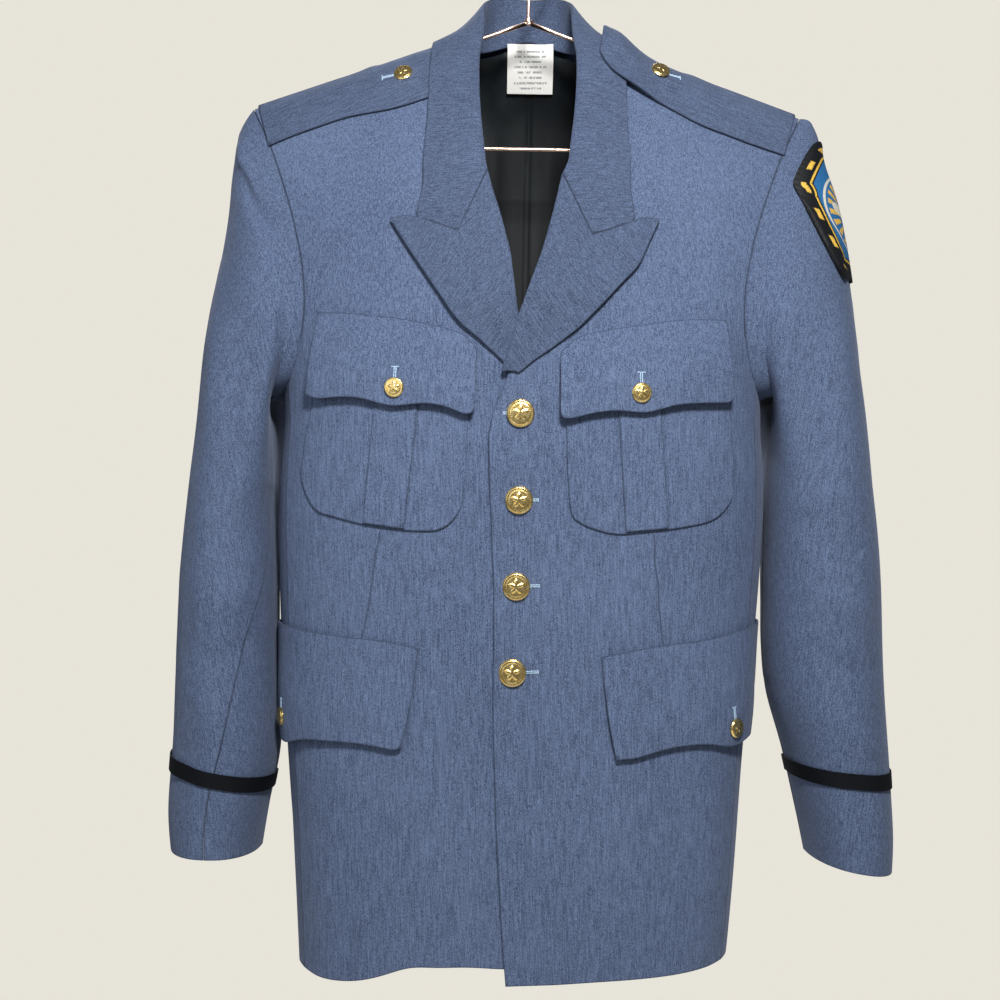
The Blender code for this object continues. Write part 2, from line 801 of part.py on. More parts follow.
def gorge_line(side, gorge):
    """The collar's end, along the gorge seam and its own lower edge."""
    start = gorge[0]
    across = unit(gorge[-1] - start)
    places = [(start + 5 * across, -1.6), (start + 3.3 * across, -1.4), (start + 1.6 * across, -1.2)]
    places += [(start, 0.8), (start + 1.5 * across, 3.0)]
    for share, out in ((1, 4.2), (2, 3.4), (2.5, 3.1), (3, 2.8), (3.5, 2.8), (4, 2.8)):
        low = int(share)
        point = gorge[low] if share == low else (gorge[low] + gorge[low + 1]) / 2
        places.append((point, out))
    points = []
    for (distance, height), out in places:
        height *= MM
        points.append(on_body(side * distance * MM / front_length(height), height, out * MM))
    return points


def add_collar():
    """The collar, in one with its stand, round the neck from gorge to gorge."""
    left, right = collar_half(LEFT), collar_half(RIGHT)
    lines = np.array(right + left[-2::-1])
    table = np.column_stack([np.arange(len(lines)), lines.reshape(len(lines), -1)])
    middle = (len(lines) - 1) / 2
    places = np.arange(0, len(lines) - 0.5, 0.5)
    places = [at for at in places if at == int(at) or abs(at - middle) < 5]
    visible = np.array([cubic(table, at).reshape(lines.shape[1:]) for at in places])
    add_turned("collar", visible, ("start", "end"))


# distance round and height along a line on each side; each piece's edges
BREAST_LEFT = {
    "flap": {"left": [(-430, 30), (-376, 29)], "right": [(-415, 173), (-345, 169)],
             "top": [(30, -374), (37, -366), (45, -360), (58, -356), (109, -347), (140, -343), (172, -342)],
             "bottom": [(29, -421), (34, -427), (43, -426), (55, -422.5), (66, -420), (80, -419.5),
                        (94, -422), (108, -418), (122, -414), (150, -411), (167, -410.5), (173, -405)]},
    "pocket": {"left": [(-520, 46), (-509, 42), (-488, 38), (-459, 36), (-380, 33)],
               "right": [(-512, 168), (-500, 177), (-470, 180), (-440, 178), (-412, 174)],
               "bottom": [(33, -490), (42, -506), (52, -513), (66, -519), (87, -518.5), (121, -515),
                          (157, -508), (170, -500), (180, -484)]},
    "pleat": {"left": [(-520, 85), (-420, 77)], "right": [(-520, 121), (-420, 112)]},
}
BREAST_RIGHT = {
    "flap": {"left": [(-422, 39), (-374, 38)], "right": [(-411, 179), (-374, 176), (-345, 173)],
             "top": [(38, -373), (44, -364), (52, -358), (68, -354), (97, -348), (143, -343), (177, -341)],
             "bottom": [(39, -420), (46, -425.5), (59, -419.5), (74, -416), (90, -417), (103, -419.5),
                        (116, -415), (144, -411.5), (168, -413), (179, -409)]},
    "pocket": {"left": [(-520, 60), (-504, 51), (-489, 47), (-460, 45), (-380, 43)],
               "right": [(-512, 172), (-497, 182), (-484, 187), (-469, 188), (-440, 184), (-413, 177)],
               "bottom": [(44, -489), (51, -504), (58, -513), (70, -519.5), (96, -519), (130, -515),
                          (168, -506), (180, -497), (188, -478)]},
    "pleat": {"left": [(-520, 95), (-420, 85)], "right": [(-512, 129), (-418, 121)]},
}
LOWER_LEFT = {
    "left": [(-702, 80), (-664, 72), (-619, 67)], "right": [(-702, 300), (-600, 312)],
    "top": [(67, -619), (114, -610), (164, -604), (195, -597), (258, -592), (312, -596)],
    "bottom": [(72, -699), (80, -702), (95, -701), (125, -693), (143, -691), (165, -691.5),
               (186, -695), (207, -690), (240, -689), (270, -692), (297, -699), (304, -696)],
}
LOWER_RIGHT = {
    "left": [(-697, 94), (-658, 86), (-615, 81)], "right": [(-700, 328), (-600, 342)],
    "top": [(81, -615), (106, -610), (149, -607), (173, -605), (201, -602), (240, -600), (342, -601)],
    "bottom": [(90, -694), (100, -698), (118, -695), (148, -693), (185, -695), (213, -702),
               (240, -696), (275, -694), (310, -700), (322, -702), (332, -698)],
}


def body_columns(side, height, low, high):
    """Distances round, between two places, of the body's own columns at a height."""
    front = front_length(height)
    places = [front_around(side, c / FRONT_COLUMNS, height) for c in range(FRONT_COLUMNS + 1)]
    places += [side * (FRONT_SHARE + (BACK_SHARE - FRONT_SHARE) * c / SIDE_COLUMNS)
               for c in range(1, SIDE_COLUMNS + 1)]
    found = []
    for place in places:
        place = abs(place)
        distance = place * front if place <= 1 else front + (place - 1) * back_length(height)
        found.append(distance / MM)
    inner = [d for d in found if low + 3 < d < high - 3]
    extra = [d for d in (low + 5, low + 12, high - 12, high - 5)
             if all(abs(d - other) > 3.5 for other in inner)]
    return sorted([low, high] + inner + extra)


def laid(name, side, left, right, top, bottom, rises, colour=WOOL, roughness=0.9, cloth=TRIM):
    """A piece laid on the body: edges as tables, and rises as share down, outer face."""
    middle = (line(top, 120) + line(bottom, 120)) / 2
    low, high = line(left, middle), line(right, middle)
    columns = body_columns(side, middle * MM, low, high)
    outer, inner = [], []
    for share, rise in rises:
        outer_row, inner_row = [], []
        for column in columns:
            across = (column - low) / (high - low)
            height = middle
            for _ in range(3):
                distance = line(left, height) + across * (line(right, height) - line(left, height))
                height = line(top, distance) + share * (line(bottom, distance) - line(top, distance))
            z = height * MM
            place = side * side_share(distance * MM, z)
            out = rise + lift(side, place, z)
            outer_row.append(on_body(place, z, out))
            inner_row.append(on_body(place, z, out - cloth))
        outer.append(outer_row)
        inner.append(inner_row)
    return wall(name, outer, inner, colour, roughness)


def add_pockets(side):
    """A breast pocket with its pleat and flap, and the lower flap."""
    name = "left" if side == LEFT else "right"
    breast = BREAST_LEFT if side == LEFT else BREAST_RIGHT
    lower = LOWER_LEFT if side == LEFT else LOWER_RIGHT
    pocket, pleat, flap = breast["pocket"], breast["pleat"], breast["flap"]
    first = LAID_GAP + TRIM
    side_first = first + 0.4 * MM
    second = first + SEAM_GAP + 1.2 * MM
    third = second + SEAM_GAP + TRIM
    shares = [(i / 6, first) for i in range(7)]
    laid("breast_pocket_" + name, side, pocket["left"], pocket["right"],
         [(0, -378), (200, -378)], pocket["bottom"], shares)
    shares = [(i / 6, second) for i in range(7)]
    edge = [(u, z + 4) for u, z in pocket["bottom"]]
    laid("breast_pleat_" + name, side, pleat["left"], pleat["right"],
         [(0, -384), (200, -384)], edge, shares, cloth=1.2 * MM)
    rises = [(0, first), (0.22, third - 0.8 * MM), (0.4, third), (0.7, third + 0.4 * MM), (1, third)]
    laid("breast_flap_" + name, side, flap["left"], flap["right"], flap["top"], flap["bottom"], rises)
    rises = [(0, side_first), (0.3, side_first + 0.8 * MM), (0.65, side_first + 0.8 * MM), (1, side_first)]
    laid("lower_flap_" + name, side, lower["left"], lower["right"], lower["top"], lower["bottom"], rises)


# distance from the centre and height of a strap's front edge, then where it ends
STRAP_LEFT = [(60, -119), (64, -124), (80, -138), (113, -156), (148, -174), (193, -189), (222, -196)]
STRAP_RIGHT = [(77, -153), (113, -165), (151, -171), (196, -186), (222, -196)]
STRAP_END = 219.5
STRAP_SLANT = 13


def add_strap(side):
    """A shoulder strap from the armhole to the collar, over the shoulder's ridge."""
    name = "left" if side == LEFT else "right"
    table = STRAP_LEFT if side == LEFT else STRAP_RIGHT
    start = table[0][0]
    outer, inner = [], []
    places = [start, start + 5, start + 14]
    places += [start + 14 + (STRAP_END - start - 14) * i / 8 for i in range(1, 9)]
    for at in places:
        outer_row, inner_row = [], []
        end = (at - start) / (STRAP_END - start)
        for share in (0, 0.4, 0.75, 1, 1.2):
            across = (at + share * STRAP_SLANT * end) * MM
            ridge = shoulder_height(across)
            front = line(table, at) * MM
            if side == LEFT:
                front += 6 * MM * smooth(68, 60, at) * (1 - share)
            height = front + (ridge - front) * min(share, 1)
            cover = 0.0
            if side == LEFT:
                cover = (5.8 + 9 * smooth(0.3, 1, share) * smooth(92, 70, at)) * MM * smooth(118, 86, at)
            rise = LAID_GAP + 0.4 * MM + TRIM + cover
            if share <= 1:
                place = LEFT * around_of(across, height)
            else:
                back = sections(height)[1]
                height = ridge - 3 * MM
                place = 2 - np.interp(across, back[0], back[2]) / back[2][-1]
            outer_row.append(on_body(side * place, height, rise))
            inner_row.append(on_body(side * place, height, rise - TRIM))
        outer.append(outer_row)
        inner.append(inner_row)
    wall("epaulette_" + name, outer, inner)


# column, top row, bottom row of the patch on the sleeve
PATCH = [(-3.6, 1.0, 1.9), (-3, 1.0, 4.2), (-2, 1.15, 4.85), (-1, 1.4, 5.1), (0, 1.75, 5.15),
         (1, 1.4, 5.1), (2, 1.15, 4.85), (3, 1.0, 4.2), (3.6, 1.0, 1.9)]


def patch_row(row, first, last):
    """A row of the patch: on the sleeve's own rings wherever they lie under it."""
    ring = (first, 2, 3, 4, 5, last)[row]
    return min(max(ring, first + 0.12 * row), last - 0.12 * (5 - row))


def add_sleeve_trim(side, armhole):
    """The braid round a cuff, and the patch on the wearer's left sleeve."""
    name = "left" if side == LEFT else "right"
    top, bottom = (16.19, 16.63) if side == LEFT else (16.54, 16.97)
    low = LAID_GAP if side == LEFT else LAID_GAP + 0.3 * MM
    rises = (low + 1.0 * MM, low)
    grids = [[[sleeve_place(armhole, row, c, rise) for c in range(RING)]
              for row in (top, bottom)] for rise in rises]
    wall("cuff_braid_" + name, grids[0], grids[1], BLACK, 0.7, ring=True)
    if side == LEFT:
        rises = (2.7 * MM, 1.5 * MM)
        grids = [[[sleeve_place(armhole, patch_row(row, first, last), c, rise)
                   for c, first, last in PATCH] for row in range(6)] for rise in rises]
        wall("sleeve_patch", grids[0], grids[1], (0.05, 0.08, 0.22), 0.8)


def lining_point(distance, height, depth):
    """A point inside the back, at a distance round from its centre, set in from its cloth."""
    low = min(height, line(NECK_BACK, abs(distance) / MM) * MM - 8 * MM)
    place = 2 - abs(distance) / back_length(low)
    point = body_point(place if distance >= 0 else -place, low)
    near_neck = smooth(-150 * MM, -95 * MM, height)
    depth += (8.2 + 8 * smooth(22 * MM, 42 * MM, abs(distance))) * MM * near_neck
    return point + np.array([0, -depth, height - low])


def add_lining():
    """The lining inside the back neck, and the label on it."""
    grids = []
    for depth in (8.0 * MM, 9.6 * MM):
        grid = []
        for row in range(11):
            share = row / 10
            width = (10 + 14 * share**0.8) * MM
            line_points = []
            for column in range(-4, 5):
                top = line(NECK_BACK, abs(column) * 10.5) + 1
                height = (top + (-420 - top) * share**1.5) * MM
                line_points.append(lining_point(column * width, height, depth))
            grid.append(line_points)
        grids.append(grid)
    wall("lining_back", grids[0], grids[1], (0.015, 0.015, 0.018), 0.35)
    grids = [[[lining_point((3 + 10.25 * column) * MM, (-84.5 - 42 * row / 4) * MM, depth)
               for column in range(-2, 3)] for row in range(5)] for depth in (12.6 * MM, 13.8 * MM)]
    wall("neck_label", grids[0], grids[1], (0.8, 0.8, 0.78), 0.8)


# radius share, height of a button's turned form
BUTTON = [(0.86, 0), (1.0, 0.25), (0.93, 0.48), (0.6, 0.84)]


def add_button(name, size, place, height, rise, sides=16):
    """A domed button seated on the body, facing out from it."""
    centre = on_body(place, height, rise + 0.4 * MM)
    axis = body_normal(place, height)
    across = unit(np.cross(axis, (0.1, 0.2, 1)))
    up = np.cross(axis, across)
    deep = size * 0.19
    points = [tuple(centre)]
    for radius, out in BUTTON:
        for i in range(sides):
            turn = 2 * math.pi * i / sides
            spoke = math.cos(turn) * across + math.sin(turn) * up
            points.append(tuple(centre + spoke * radius * size / 2 + axis * out * deep))
    points.append(tuple(centre + axis * deep))
    faces = []
    for i in range(sides):
        j = (i + 1) % sides
        faces.append((0, 1 + i, 1 + j))
        for ring in range(len(BUTTON) - 1):
            a, b = 1 + ring * sides, 1 + (ring + 1) * sides
            faces.append((a + i, b + i, b + j, a + j))
        last = 1 + (len(BUTTON) - 1) * sides
        faces.append((last + i, len(points) - 1, last + j))
    fill(new_piece(name, GOLD, 0.28, 1.0), points, faces)


# distance round from the centre front, height, of each button
FRONT_BUTTONS = [(-2, -423), (-2, -493), (-3, -563), (-5, -633)]


def add_buttons():
    """All ten buttons."""
    for number, (distance, height) in enumerate(FRONT_BUTTONS, 1):
        height *= MM
        place = front_share(distance * MM, height)
        add_button("front_button_%d" % number, LARGE_BUTTON, place, height,
                   lift(LEFT, abs(place), height), 20)
    breast = LAID_GAP + 2 * TRIM + 1.2 * MM + 2 * SEAM_GAP + 0.3 * MM
    for side, name, distance, height in ((LEFT, "left", 94, -405), (RIGHT, "right", 103, -404)):
        place = side * front_share(distance * MM, height * MM)
        add_button("breast_button_" + name, SMALL_BUTTON, place, height * MM, breast)
    for side, name, distance, height in ((LEFT, "left", 186, -679), (RIGHT, "right", 213, -679)):
        place = side * front_share(distance * MM, height * MM)
        rise = LAID_GAP + TRIM + (1.0 * MM if side == LEFT else 0.3 * MM)
        add_button("lower_button_" + name, SMALL_BUTTON, place, height * MM, rise)
    for side, name, across, height in ((LEFT, "left", 113, -125), (RIGHT, "right", 106, -131)):
        place = side * around_of(across * MM, height * MM)
        rise = 4.3 * MM if side == LEFT else 2.4 * MM
        add_button("epaulette_button_" + name, SMALL_BUTTON, place, height * MM, rise)


def tube(points, radius, sides=8, closed=False):
    """Points and faces of a round wire along a run of points in the XZ plane."""
    points = [np.array((x, 0.0, z)) for x, z in points]
    count = len(points)
    ring_points, faces = [], []
    for i, point in enumerate(points):
        before = points[i - 1] if i or closed else point
        after = points[(i + 1) % count] if i < count - 1 or closed else point
        along = unit(after - before)
        aside = np.cross(along, (0, 1, 0))
        for k in range(sides):
            turn = 2 * math.pi * (k + 0.5) / sides
            spoke = math.cos(turn) * aside + math.sin(turn) * np.array((0, 1, 0))
            ring_points.append(tuple(leaned(point + radius * spoke)))
    for i in range(count if closed else count - 1):
        a, b = i * sides, (i + 1) % count * sides
        for k in range(sides):
            n = (k + 1) % sides
            faces.append((a + k, a + n, b + n, b + k))
    if not closed:
        faces.append(tuple(range(sides)))
        faces.append(tuple(range((count - 1) * sides, count * sides)))
    return ring_points, faces


def add_hanger():
    """The wire hanger: hook and neck, joined to the loop of arms and crossbar."""
    middle = HOOK_INSIDE + WIRE / 2
    centre = -HOOK_INSIDE
    hook = []
    for i in range(19):
        turn = math.radians(205 - 235 * i / 18)
        hook.append((middle * math.cos(turn), centre + middle * math.sin(turn)))
    hook += [(0.0165, -0.037), (0.011, -0.044), (0.005, -0.0495), (0.0012, -0.056), (0, -0.064)]
    apex = SHOULDER_TOP - HANGER_DROP
    hook.append((0, apex))
    arm = [(0.004, apex - 0.0014)]
    arm += [(x, apex - SHOULDER_SLOPE * x) for x in (0.02, 0.08, 0.14, ARM_END - 0.004)]
    low = apex - SHOULDER_SLOPE * ARM_END
    bend = [(ARM_END + 0.003, low - 0.0035), (ARM_END + 0.0062, low - 0.010),
            (ARM_END + 0.0058, low - 0.018), (ARM_END + 0.002, low - 0.0265),
            (ARM_END - 0.005, CROSSBAR + 0.0022), (ARM_END - 0.013, CROSSBAR)]
    half = arm + bend + [(0.1, CROSSBAR)]
    loop = [(0, apex)] + half + [(0, CROSSBAR)] + [(-x, z) for x, z in reversed(half)]
    hanger = new_piece("hanger_wire", (0.72, 0.42, 0.30), 0.3, 1.0)
    fill(hanger, *tube(loop, WIRE / 2, closed=True))
    cutter = new_piece("hook_part", (0.72, 0.42, 0.30), 0.3, 1.0)
    fill(cutter, *tube(hook, WIRE / 2 * 0.98))
    cutter.hide_render = True
    cutter.display_type = "WIRE"
    join = hanger.modifiers.new("join_hook", "BOOLEAN")
    join.operation = "UNION"
    join.solver = "EXACT"
    join.object = cutter


def main():
    for item in list(bpy.data.objects):
        bpy.data.objects.remove(item)
    for side in (LEFT, RIGHT):
        armhole = Armhole(side)
        add_fronts_and_backs(side, armhole)
        add_sleeve(side, armhole)
        add_lapel(side)
        add_pockets(side)
        add_strap(side)
        add_sleeve_trim(side, armhole)
    add_collar()
    add_lining()
    add_buttons()
    add_hanger()


main()
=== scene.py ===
"""Looks for a military-style blazer that hangs on a wire hanger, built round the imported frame.

Everything is in metres in the frame's own axes: +Z up, the coat's front faces -Y, the wearer's
left is at +X, and the origin is the inner top of the hanger's hook.
"""

import logging
import math
from dataclasses import dataclass, field
from enum import Enum

import bmesh
import bpy
import numpy as np
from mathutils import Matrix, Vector
from mathutils.bvhtree import BVHTree
from mathutils.kdtree import KDTree


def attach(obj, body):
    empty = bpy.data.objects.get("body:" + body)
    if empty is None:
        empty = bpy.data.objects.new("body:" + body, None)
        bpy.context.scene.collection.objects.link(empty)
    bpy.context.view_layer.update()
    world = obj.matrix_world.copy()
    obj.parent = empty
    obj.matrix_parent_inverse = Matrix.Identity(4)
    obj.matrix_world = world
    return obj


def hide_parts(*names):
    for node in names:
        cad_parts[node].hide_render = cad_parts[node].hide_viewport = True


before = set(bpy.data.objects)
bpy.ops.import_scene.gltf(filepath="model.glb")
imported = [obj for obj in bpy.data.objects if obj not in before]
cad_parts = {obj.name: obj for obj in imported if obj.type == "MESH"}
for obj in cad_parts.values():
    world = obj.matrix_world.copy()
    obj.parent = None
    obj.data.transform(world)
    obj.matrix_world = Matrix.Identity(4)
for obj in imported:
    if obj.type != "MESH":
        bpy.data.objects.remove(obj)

LOG = logging.getLogger("blazer")
Triple = tuple[float, float, float]
Colour = Triple
Path = tuple[tuple[float, float], ...]
Points = np.ndarray
Socket = bpy.types.NodeSocket
Material = bpy.types.Material
Piece = bpy.types.Object

MM = 0.001
# how far the coat hangs to the wearer's right for each metre down
LEAN = 0.0175
# an edge where faces turn more than this is a rim
RIM_ANGLE = math.radians(50)
# the colours among the inputs and outputs of a Mix node, by number
MIX_LOW, MIX_HIGH, MIX_RESULT = 6, 7, 2
# where the lights point: the middle of the coat
COAT_MIDDLE = Vector((0.0, 0.0, -0.45))


class Side(Enum):
    """The wearer's side, with its direction along X."""

    LEFT = 1
    RIGHT = -1

    @property
    def word(self) -> str:
        """The side's word in a node's name."""
        return self.name.lower()


class Face(Enum):
    """Which way a stretch of cloth faces."""

    FRONT = -1
    BACK = 1


class Grain(Enum):
    """How the cloth's threads run on a piece, as a turn about Y in degrees."""

    BODY = 1.0
    SLEEVE_LEFT = -8.0
    SLEEVE_RIGHT = 9.0
    COLLAR = 90.0
    LAPEL_LEFT = 34.0
    LAPEL_RIGHT = -34.0
    STRAP_LEFT = 68.0
    STRAP_RIGHT = -68.0


class Number:
    """A number that flows through a material's nodes, with the operators of arithmetic."""

    def __init__(self, tree: bpy.types.NodeTree, socket: Socket) -> None:
        """Wrap the number that a node's output gives."""
        self.tree = tree
        self.socket = socket

    def math(self, operation: str, *others: "Number | float") -> "Number":
        """Add a Math node.

        Args:
            operation: The node's operation.
            others: The inputs after this number.

        Returns:
            The node's result.
        """
        node = self.tree.nodes.new("ShaderNodeMath")
        node.operation = operation
        for socket, value in zip(node.inputs, (self, *others)):
            if isinstance(value, Number):
                self.tree.links.new(value.socket, socket)
            else:
                socket.default_value = value
        return Number(self.tree, node.outputs[0])

    def __add__(self, other: "Number | float") -> "Number":
        """Sum."""
        return self.math("ADD", other)

    def __sub__(self, other: "Number | float") -> "Number":
        """Difference."""
        return self.math("SUBTRACT", other)

    def __mul__(self, other: "Number | float") -> "Number":
        """Product."""
        return self.math("MULTIPLY", other)

    def __truediv__(self, other: "Number | float") -> "Number":
        """Quotient."""
        return self.math("DIVIDE", other)

    def __radd__(self, other: float) -> "Number":
        """Sum that starts with a plain number."""
        return self + other

    def __rsub__(self, other: float) -> "Number":
        """Difference that starts with a plain number."""
        return self * -1.0 + other

    def __rmul__(self, other: float) -> "Number":
        """Product that starts with a plain number."""
        return self * other

    def __rtruediv__(self, other: float) -> "Number":
        """Quotient that starts with a plain number."""
        return self.math("POWER", -1.0) * other

    def __abs__(self) -> "Number":
        """Size without sign."""
        return self.math("ABSOLUTE")

    def least(self, other: "Number | float") -> "Number":
        """The smaller of two."""
        return self.math("MINIMUM", other)

    def most(self, other: "Number | float") -> "Number":
        """The larger of two."""
        return self.math("MAXIMUM", other)

    def step(self, low: float, high: float) -> "Number":
        """A soft step.

        Args:
            low: Where the result is 0.
            high: Where the result is 1, which may be below low.

        Returns:
            The share of the way, eased and clamped.
        """
        node = self.tree.nodes.new("ShaderNodeMapRange")
        node.interpolation_type = "SMOOTHSTEP"
        ends = (low, high, 0.0, 1.0) if low < high else (high, low, 1.0, 0.0)
        for name, value in zip(("From Min", "From Max", "To Min", "To Max"), ends):
            node.inputs[name].default_value = value
        self.tree.links.new(self.socket, node.inputs["Value"])
        return Number(self.tree, node.outputs["Result"])


class Recipe:
    """One material in the making."""

    def __init__(self, name: str) -> None:
        """Start a material of that name with a Principled shader."""
        self.material = bpy.data.materials.new(name)
        self.material.use_nodes = True
        self.tree = self.material.node_tree
        self.shader = self.tree.nodes["Principled BSDF"]

    def node(self, kind: str, settings: dict | None = None, **sockets: object) -> bpy.types.Node:
        """Add a node.

        Args:
            kind: The node's type after ShaderNode.
            settings: Properties, set before the sockets.
            sockets: Values or links by socket name, with _ for a space.

        Returns:
            The node.
        """
        node = self.tree.nodes.new("ShaderNode" + kind)
        for name, value in (settings or {}).items():
            setattr(node, name, value)
        for name, value in sockets.items():
            self.feed(node.inputs[name.replace("_", " ")], value)
        return node

    def feed(self, socket: Socket, value: object) -> None:
        """Link or set a socket."""
        if isinstance(value, Number):
            value = value.socket
        if isinstance(value, bpy.types.NodeSocket):
            self.tree.links.new(value, socket)
        elif isinstance(value, tuple) and len(value) == 3 and socket.type == "RGBA":
            socket.default_value = (*value, 1.0)
        else:
            socket.default_value = value

    def number(self, node: bpy.types.Node, output: str | int = 0) -> Number:
        """The number that a node gives out."""
        return Number(self.tree, node.outputs[output])

    def kept(self, name: str) -> Number:
        """The number that the mesh keeps for each point under a name."""
        return self.number(self.node("Attribute", {"attribute_name": name}), "Fac")

    def place(self, turn: Triple = (0.0, 0.0, 0.0), scale: Triple = (1.0, 1.0, 1.0)) -> Socket:
        """The place on the object, turned and then stretched.

        Args:
            turn: The turn about X, Y and Z, in degrees.
            scale: How many times finer the pattern is along each axis.

        Returns:
            The vector's socket.
        """
        spot = self.node("TexCoord").outputs["Object"]
        turned = self.node("Mapping", Vector=spot, Rotation=tuple(map(math.radians, turn)))
        return self.node("Mapping", Vector=turned.outputs[0], Scale=scale).outputs[0]

    def axes(self) -> tuple[Number, Number, Number]:
        """X, Y and Z of the place on the object."""
        split = self.node("SeparateXYZ", Vector=self.node("TexCoord").outputs["Object"])
        return tuple(self.number(split, i) for i in range(3))

    def noise(self, vector: Socket, scale: float, detail: float = 2.0, rough: float = 0.5) -> Number:
        """Cloudy noise from 0 to 1.

        Args:
            vector: Where it is read.
            scale: How many clouds there are to a metre.
            detail: How many finer layers it has.
            rough: How strong the finer layers are.

        Returns:
            The noise.
        """
        made = self.node("TexNoise", Vector=vector, Scale=scale, Detail=detail, Roughness=rough)
        return self.number(made, "Fac")

    def blend(self, share: Number, low: object, high: object) -> Socket:
        """A colour between two.

        Args:
            share: 0 for the first and 1 for the second.
            low: The first colour or its socket.
            high: The second colour or its socket.

        Returns:
            The mixed colour's socket.
        """
        mixed = self.tree.nodes.new("ShaderNodeMix")
        mixed.data_type = "RGBA"
        self.feed(mixed.inputs["Factor"], share)
        self.feed(mixed.inputs[MIX_LOW], low)
        self.feed(mixed.inputs[MIX_HIGH], high)
        return mixed.outputs[MIX_RESULT]

    def finish(self, colour: object, roughness: object, **constants: object) -> Material:
        """Feed the shader.

        Args:
            colour: The base colour or its socket.
            roughness: The roughness or its number.
            constants: Other sockets by name, with _ for a space.

        Returns:
            The finished material.
        """
        self.feed(self.shader.inputs["Base Color"], colour)
        self.feed(self.shader.inputs["Roughness"], roughness)
        for name, value in constants.items():
            self.feed(self.shader.inputs[name.replace("_", " ")], value)
        return self.material

    def bump(self, height: Number, strength: float, distance: float) -> Socket:
        """A bumped normal.

        Args:
            height: The height, from 0 to 1.
            strength: How much of it is used.
            distance: The height of 1, in metres.

        Returns:
            The normal's socket.
        """
        return self.node("Bump", Strength=strength, Distance=distance, Height=height).outputs[0]


@dataclass(frozen=True)
class WoolFinish:
    """Heathered blue-grey twill with slubs along its threads, and painted shade along its sewn rims and
    lines.

    Attributes:
        grain: How the threads run.
        seam: How dark the painted shade along the cloth's sewn rim is, from 0 to 1.
        tone: How light the whole cloth is beside the fronts, as painted shade that darkens pieces which
            catch more light, such as the upward-facing collar and straps.
        deep: The darkest fibres.
        pale: The palest fibres.
        slub: Thickness of a slub, in metres.
    """

    grain: Grain
    seam: float = 0.5
    tone: float = 1.0
    deep: Colour = (0.017, 0.028, 0.064)
    pale: Colour = (0.145, 0.200, 0.338)
    slub: float = 0.47 * MM

    def make(self, lines: "tuple[SeamLine, ...]" = ()) -> Material:
        """Make the material.

        Args:
            lines: Sewn lines drawn on the cloth, as painted shade and a sunk bump.

        Returns:
            The material.
        """
        recipe = Recipe("wool_" + self.grain.name.lower())
        turn = (0.0, self.grain.value, 0.0)
        along = recipe.place(turn, (1.0, 1.0, 0.30))
        long = recipe.place(turn, (1.0, 1.0, 0.06))
        flat = recipe.place(turn, (1.0, 1.0, 0.85))
        slubs = recipe.noise(along, 0.9 / self.slub, 2.0, 0.6)
        threads = recipe.noise(long, 0.45 / self.slub, 1.0, 0.5)
        fibres = recipe.noise(flat, 0.9 / self.slub, 1.0, 0.7)
        heather = slubs * 0.34 + threads * 0.20 + fibres * 0.46
        clouds = recipe.noise(flat, 9.0, 2.0, 0.5)
        share = heather.step(0.38, 0.62) * 0.84 + clouds * 0.22 - 0.03
        # painted shade: both fibre colours are scaled down on pieces painted darker than the fronts
        deep, pale = (tuple(self.tone * part for part in shade) for shade in (self.deep, self.pale))
        colour = recipe.blend(share, deep, pale)
        # painted shade: the cloth darkens within 1.3 mm of each piece's rim, standing in for the shadow in
        # seams and under edges
        shade = recipe.kept("rim").step(1.3 * MM, 0.3 * MM) * self.seam
        height = heather
        # each sewn line adds painted shade along it and sinks the bump there
        for sewn in lines:
            mark = sewn.mark(recipe)
            shade = shade.most(mark * 0.5)
            height = height - mark * 1.2
        # the painted shade's near-black blue colour
        colour = recipe.blend(shade, colour, (0.012, 0.018, 0.034))
        normal = recipe.bump(height, 0.35, 0.5 * MM)
        return recipe.finish(colour, 0.86, Normal=normal, Specular_IOR_Level=0.25,
                             Sheen_Weight=0.12, Sheen_Roughness=0.5, Sheen_Tint=(0.65, 0.75, 1.0, 1.0))


@dataclass(frozen=True)
class SeamLine:
    """A sewn line on the cloth, such as a dart, between places given as X and Z in metres.

    Attributes:
        points: The line's places, in order.
        width: The line's width.
    """

    points: Path
    width: float = 1.1 * MM

    def mark(self, recipe: Recipe) -> Number:
        """Where the line shows.

        Args:
            recipe: The material that it is drawn in.

        Returns:
            1 on the line and 0 off it.
        """
        x, y, z = recipe.axes()
        near = None
        for (x0, z0), (x1, z1) in zip(self.points, self.points[1:]):
            run = (x1 - x0) ** 2 + (z1 - z0) ** 2
            share = (((x - x0) * (x1 - x0) + (z - z0) * (z1 - z0)) / run).most(0.0).least(1.0)
            across, up = x - x0 - share * (x1 - x0), z - z0 - share * (z1 - z0)
            far = (across * across + up * up).math("SQRT")
            near = far if near is None else near.least(far)
        return near.step(self.width, self.width * 0.25) * y.step(0.0, -0.02)


@dataclass(frozen=True)
class SatinFinish:
    """Black satin of the lining."""

    colour: Colour = (0.004, 0.006, 0.008)
    pale: Colour = (0.013, 0.018, 0.021)

    def make(self) -> Material:
        """Make the material."""
        recipe = Recipe("satin_lining")
        clouds = recipe.noise(recipe.place(scale=(1.0, 1.0, 0.35)), 26.0, 3.0, 0.6)
        threads = recipe.noise(recipe.place(scale=(1.0, 1.0, 0.06)), 900.0, 1.0)
        colour = recipe.blend(clouds.step(0.35, 0.75), self.colour, self.pale)
        normal = recipe.bump(threads, 0.12, 0.2 * MM)
        return recipe.finish(colour, clouds * 0.14 + 0.40, Normal=normal, Specular_IOR_Level=0.22)


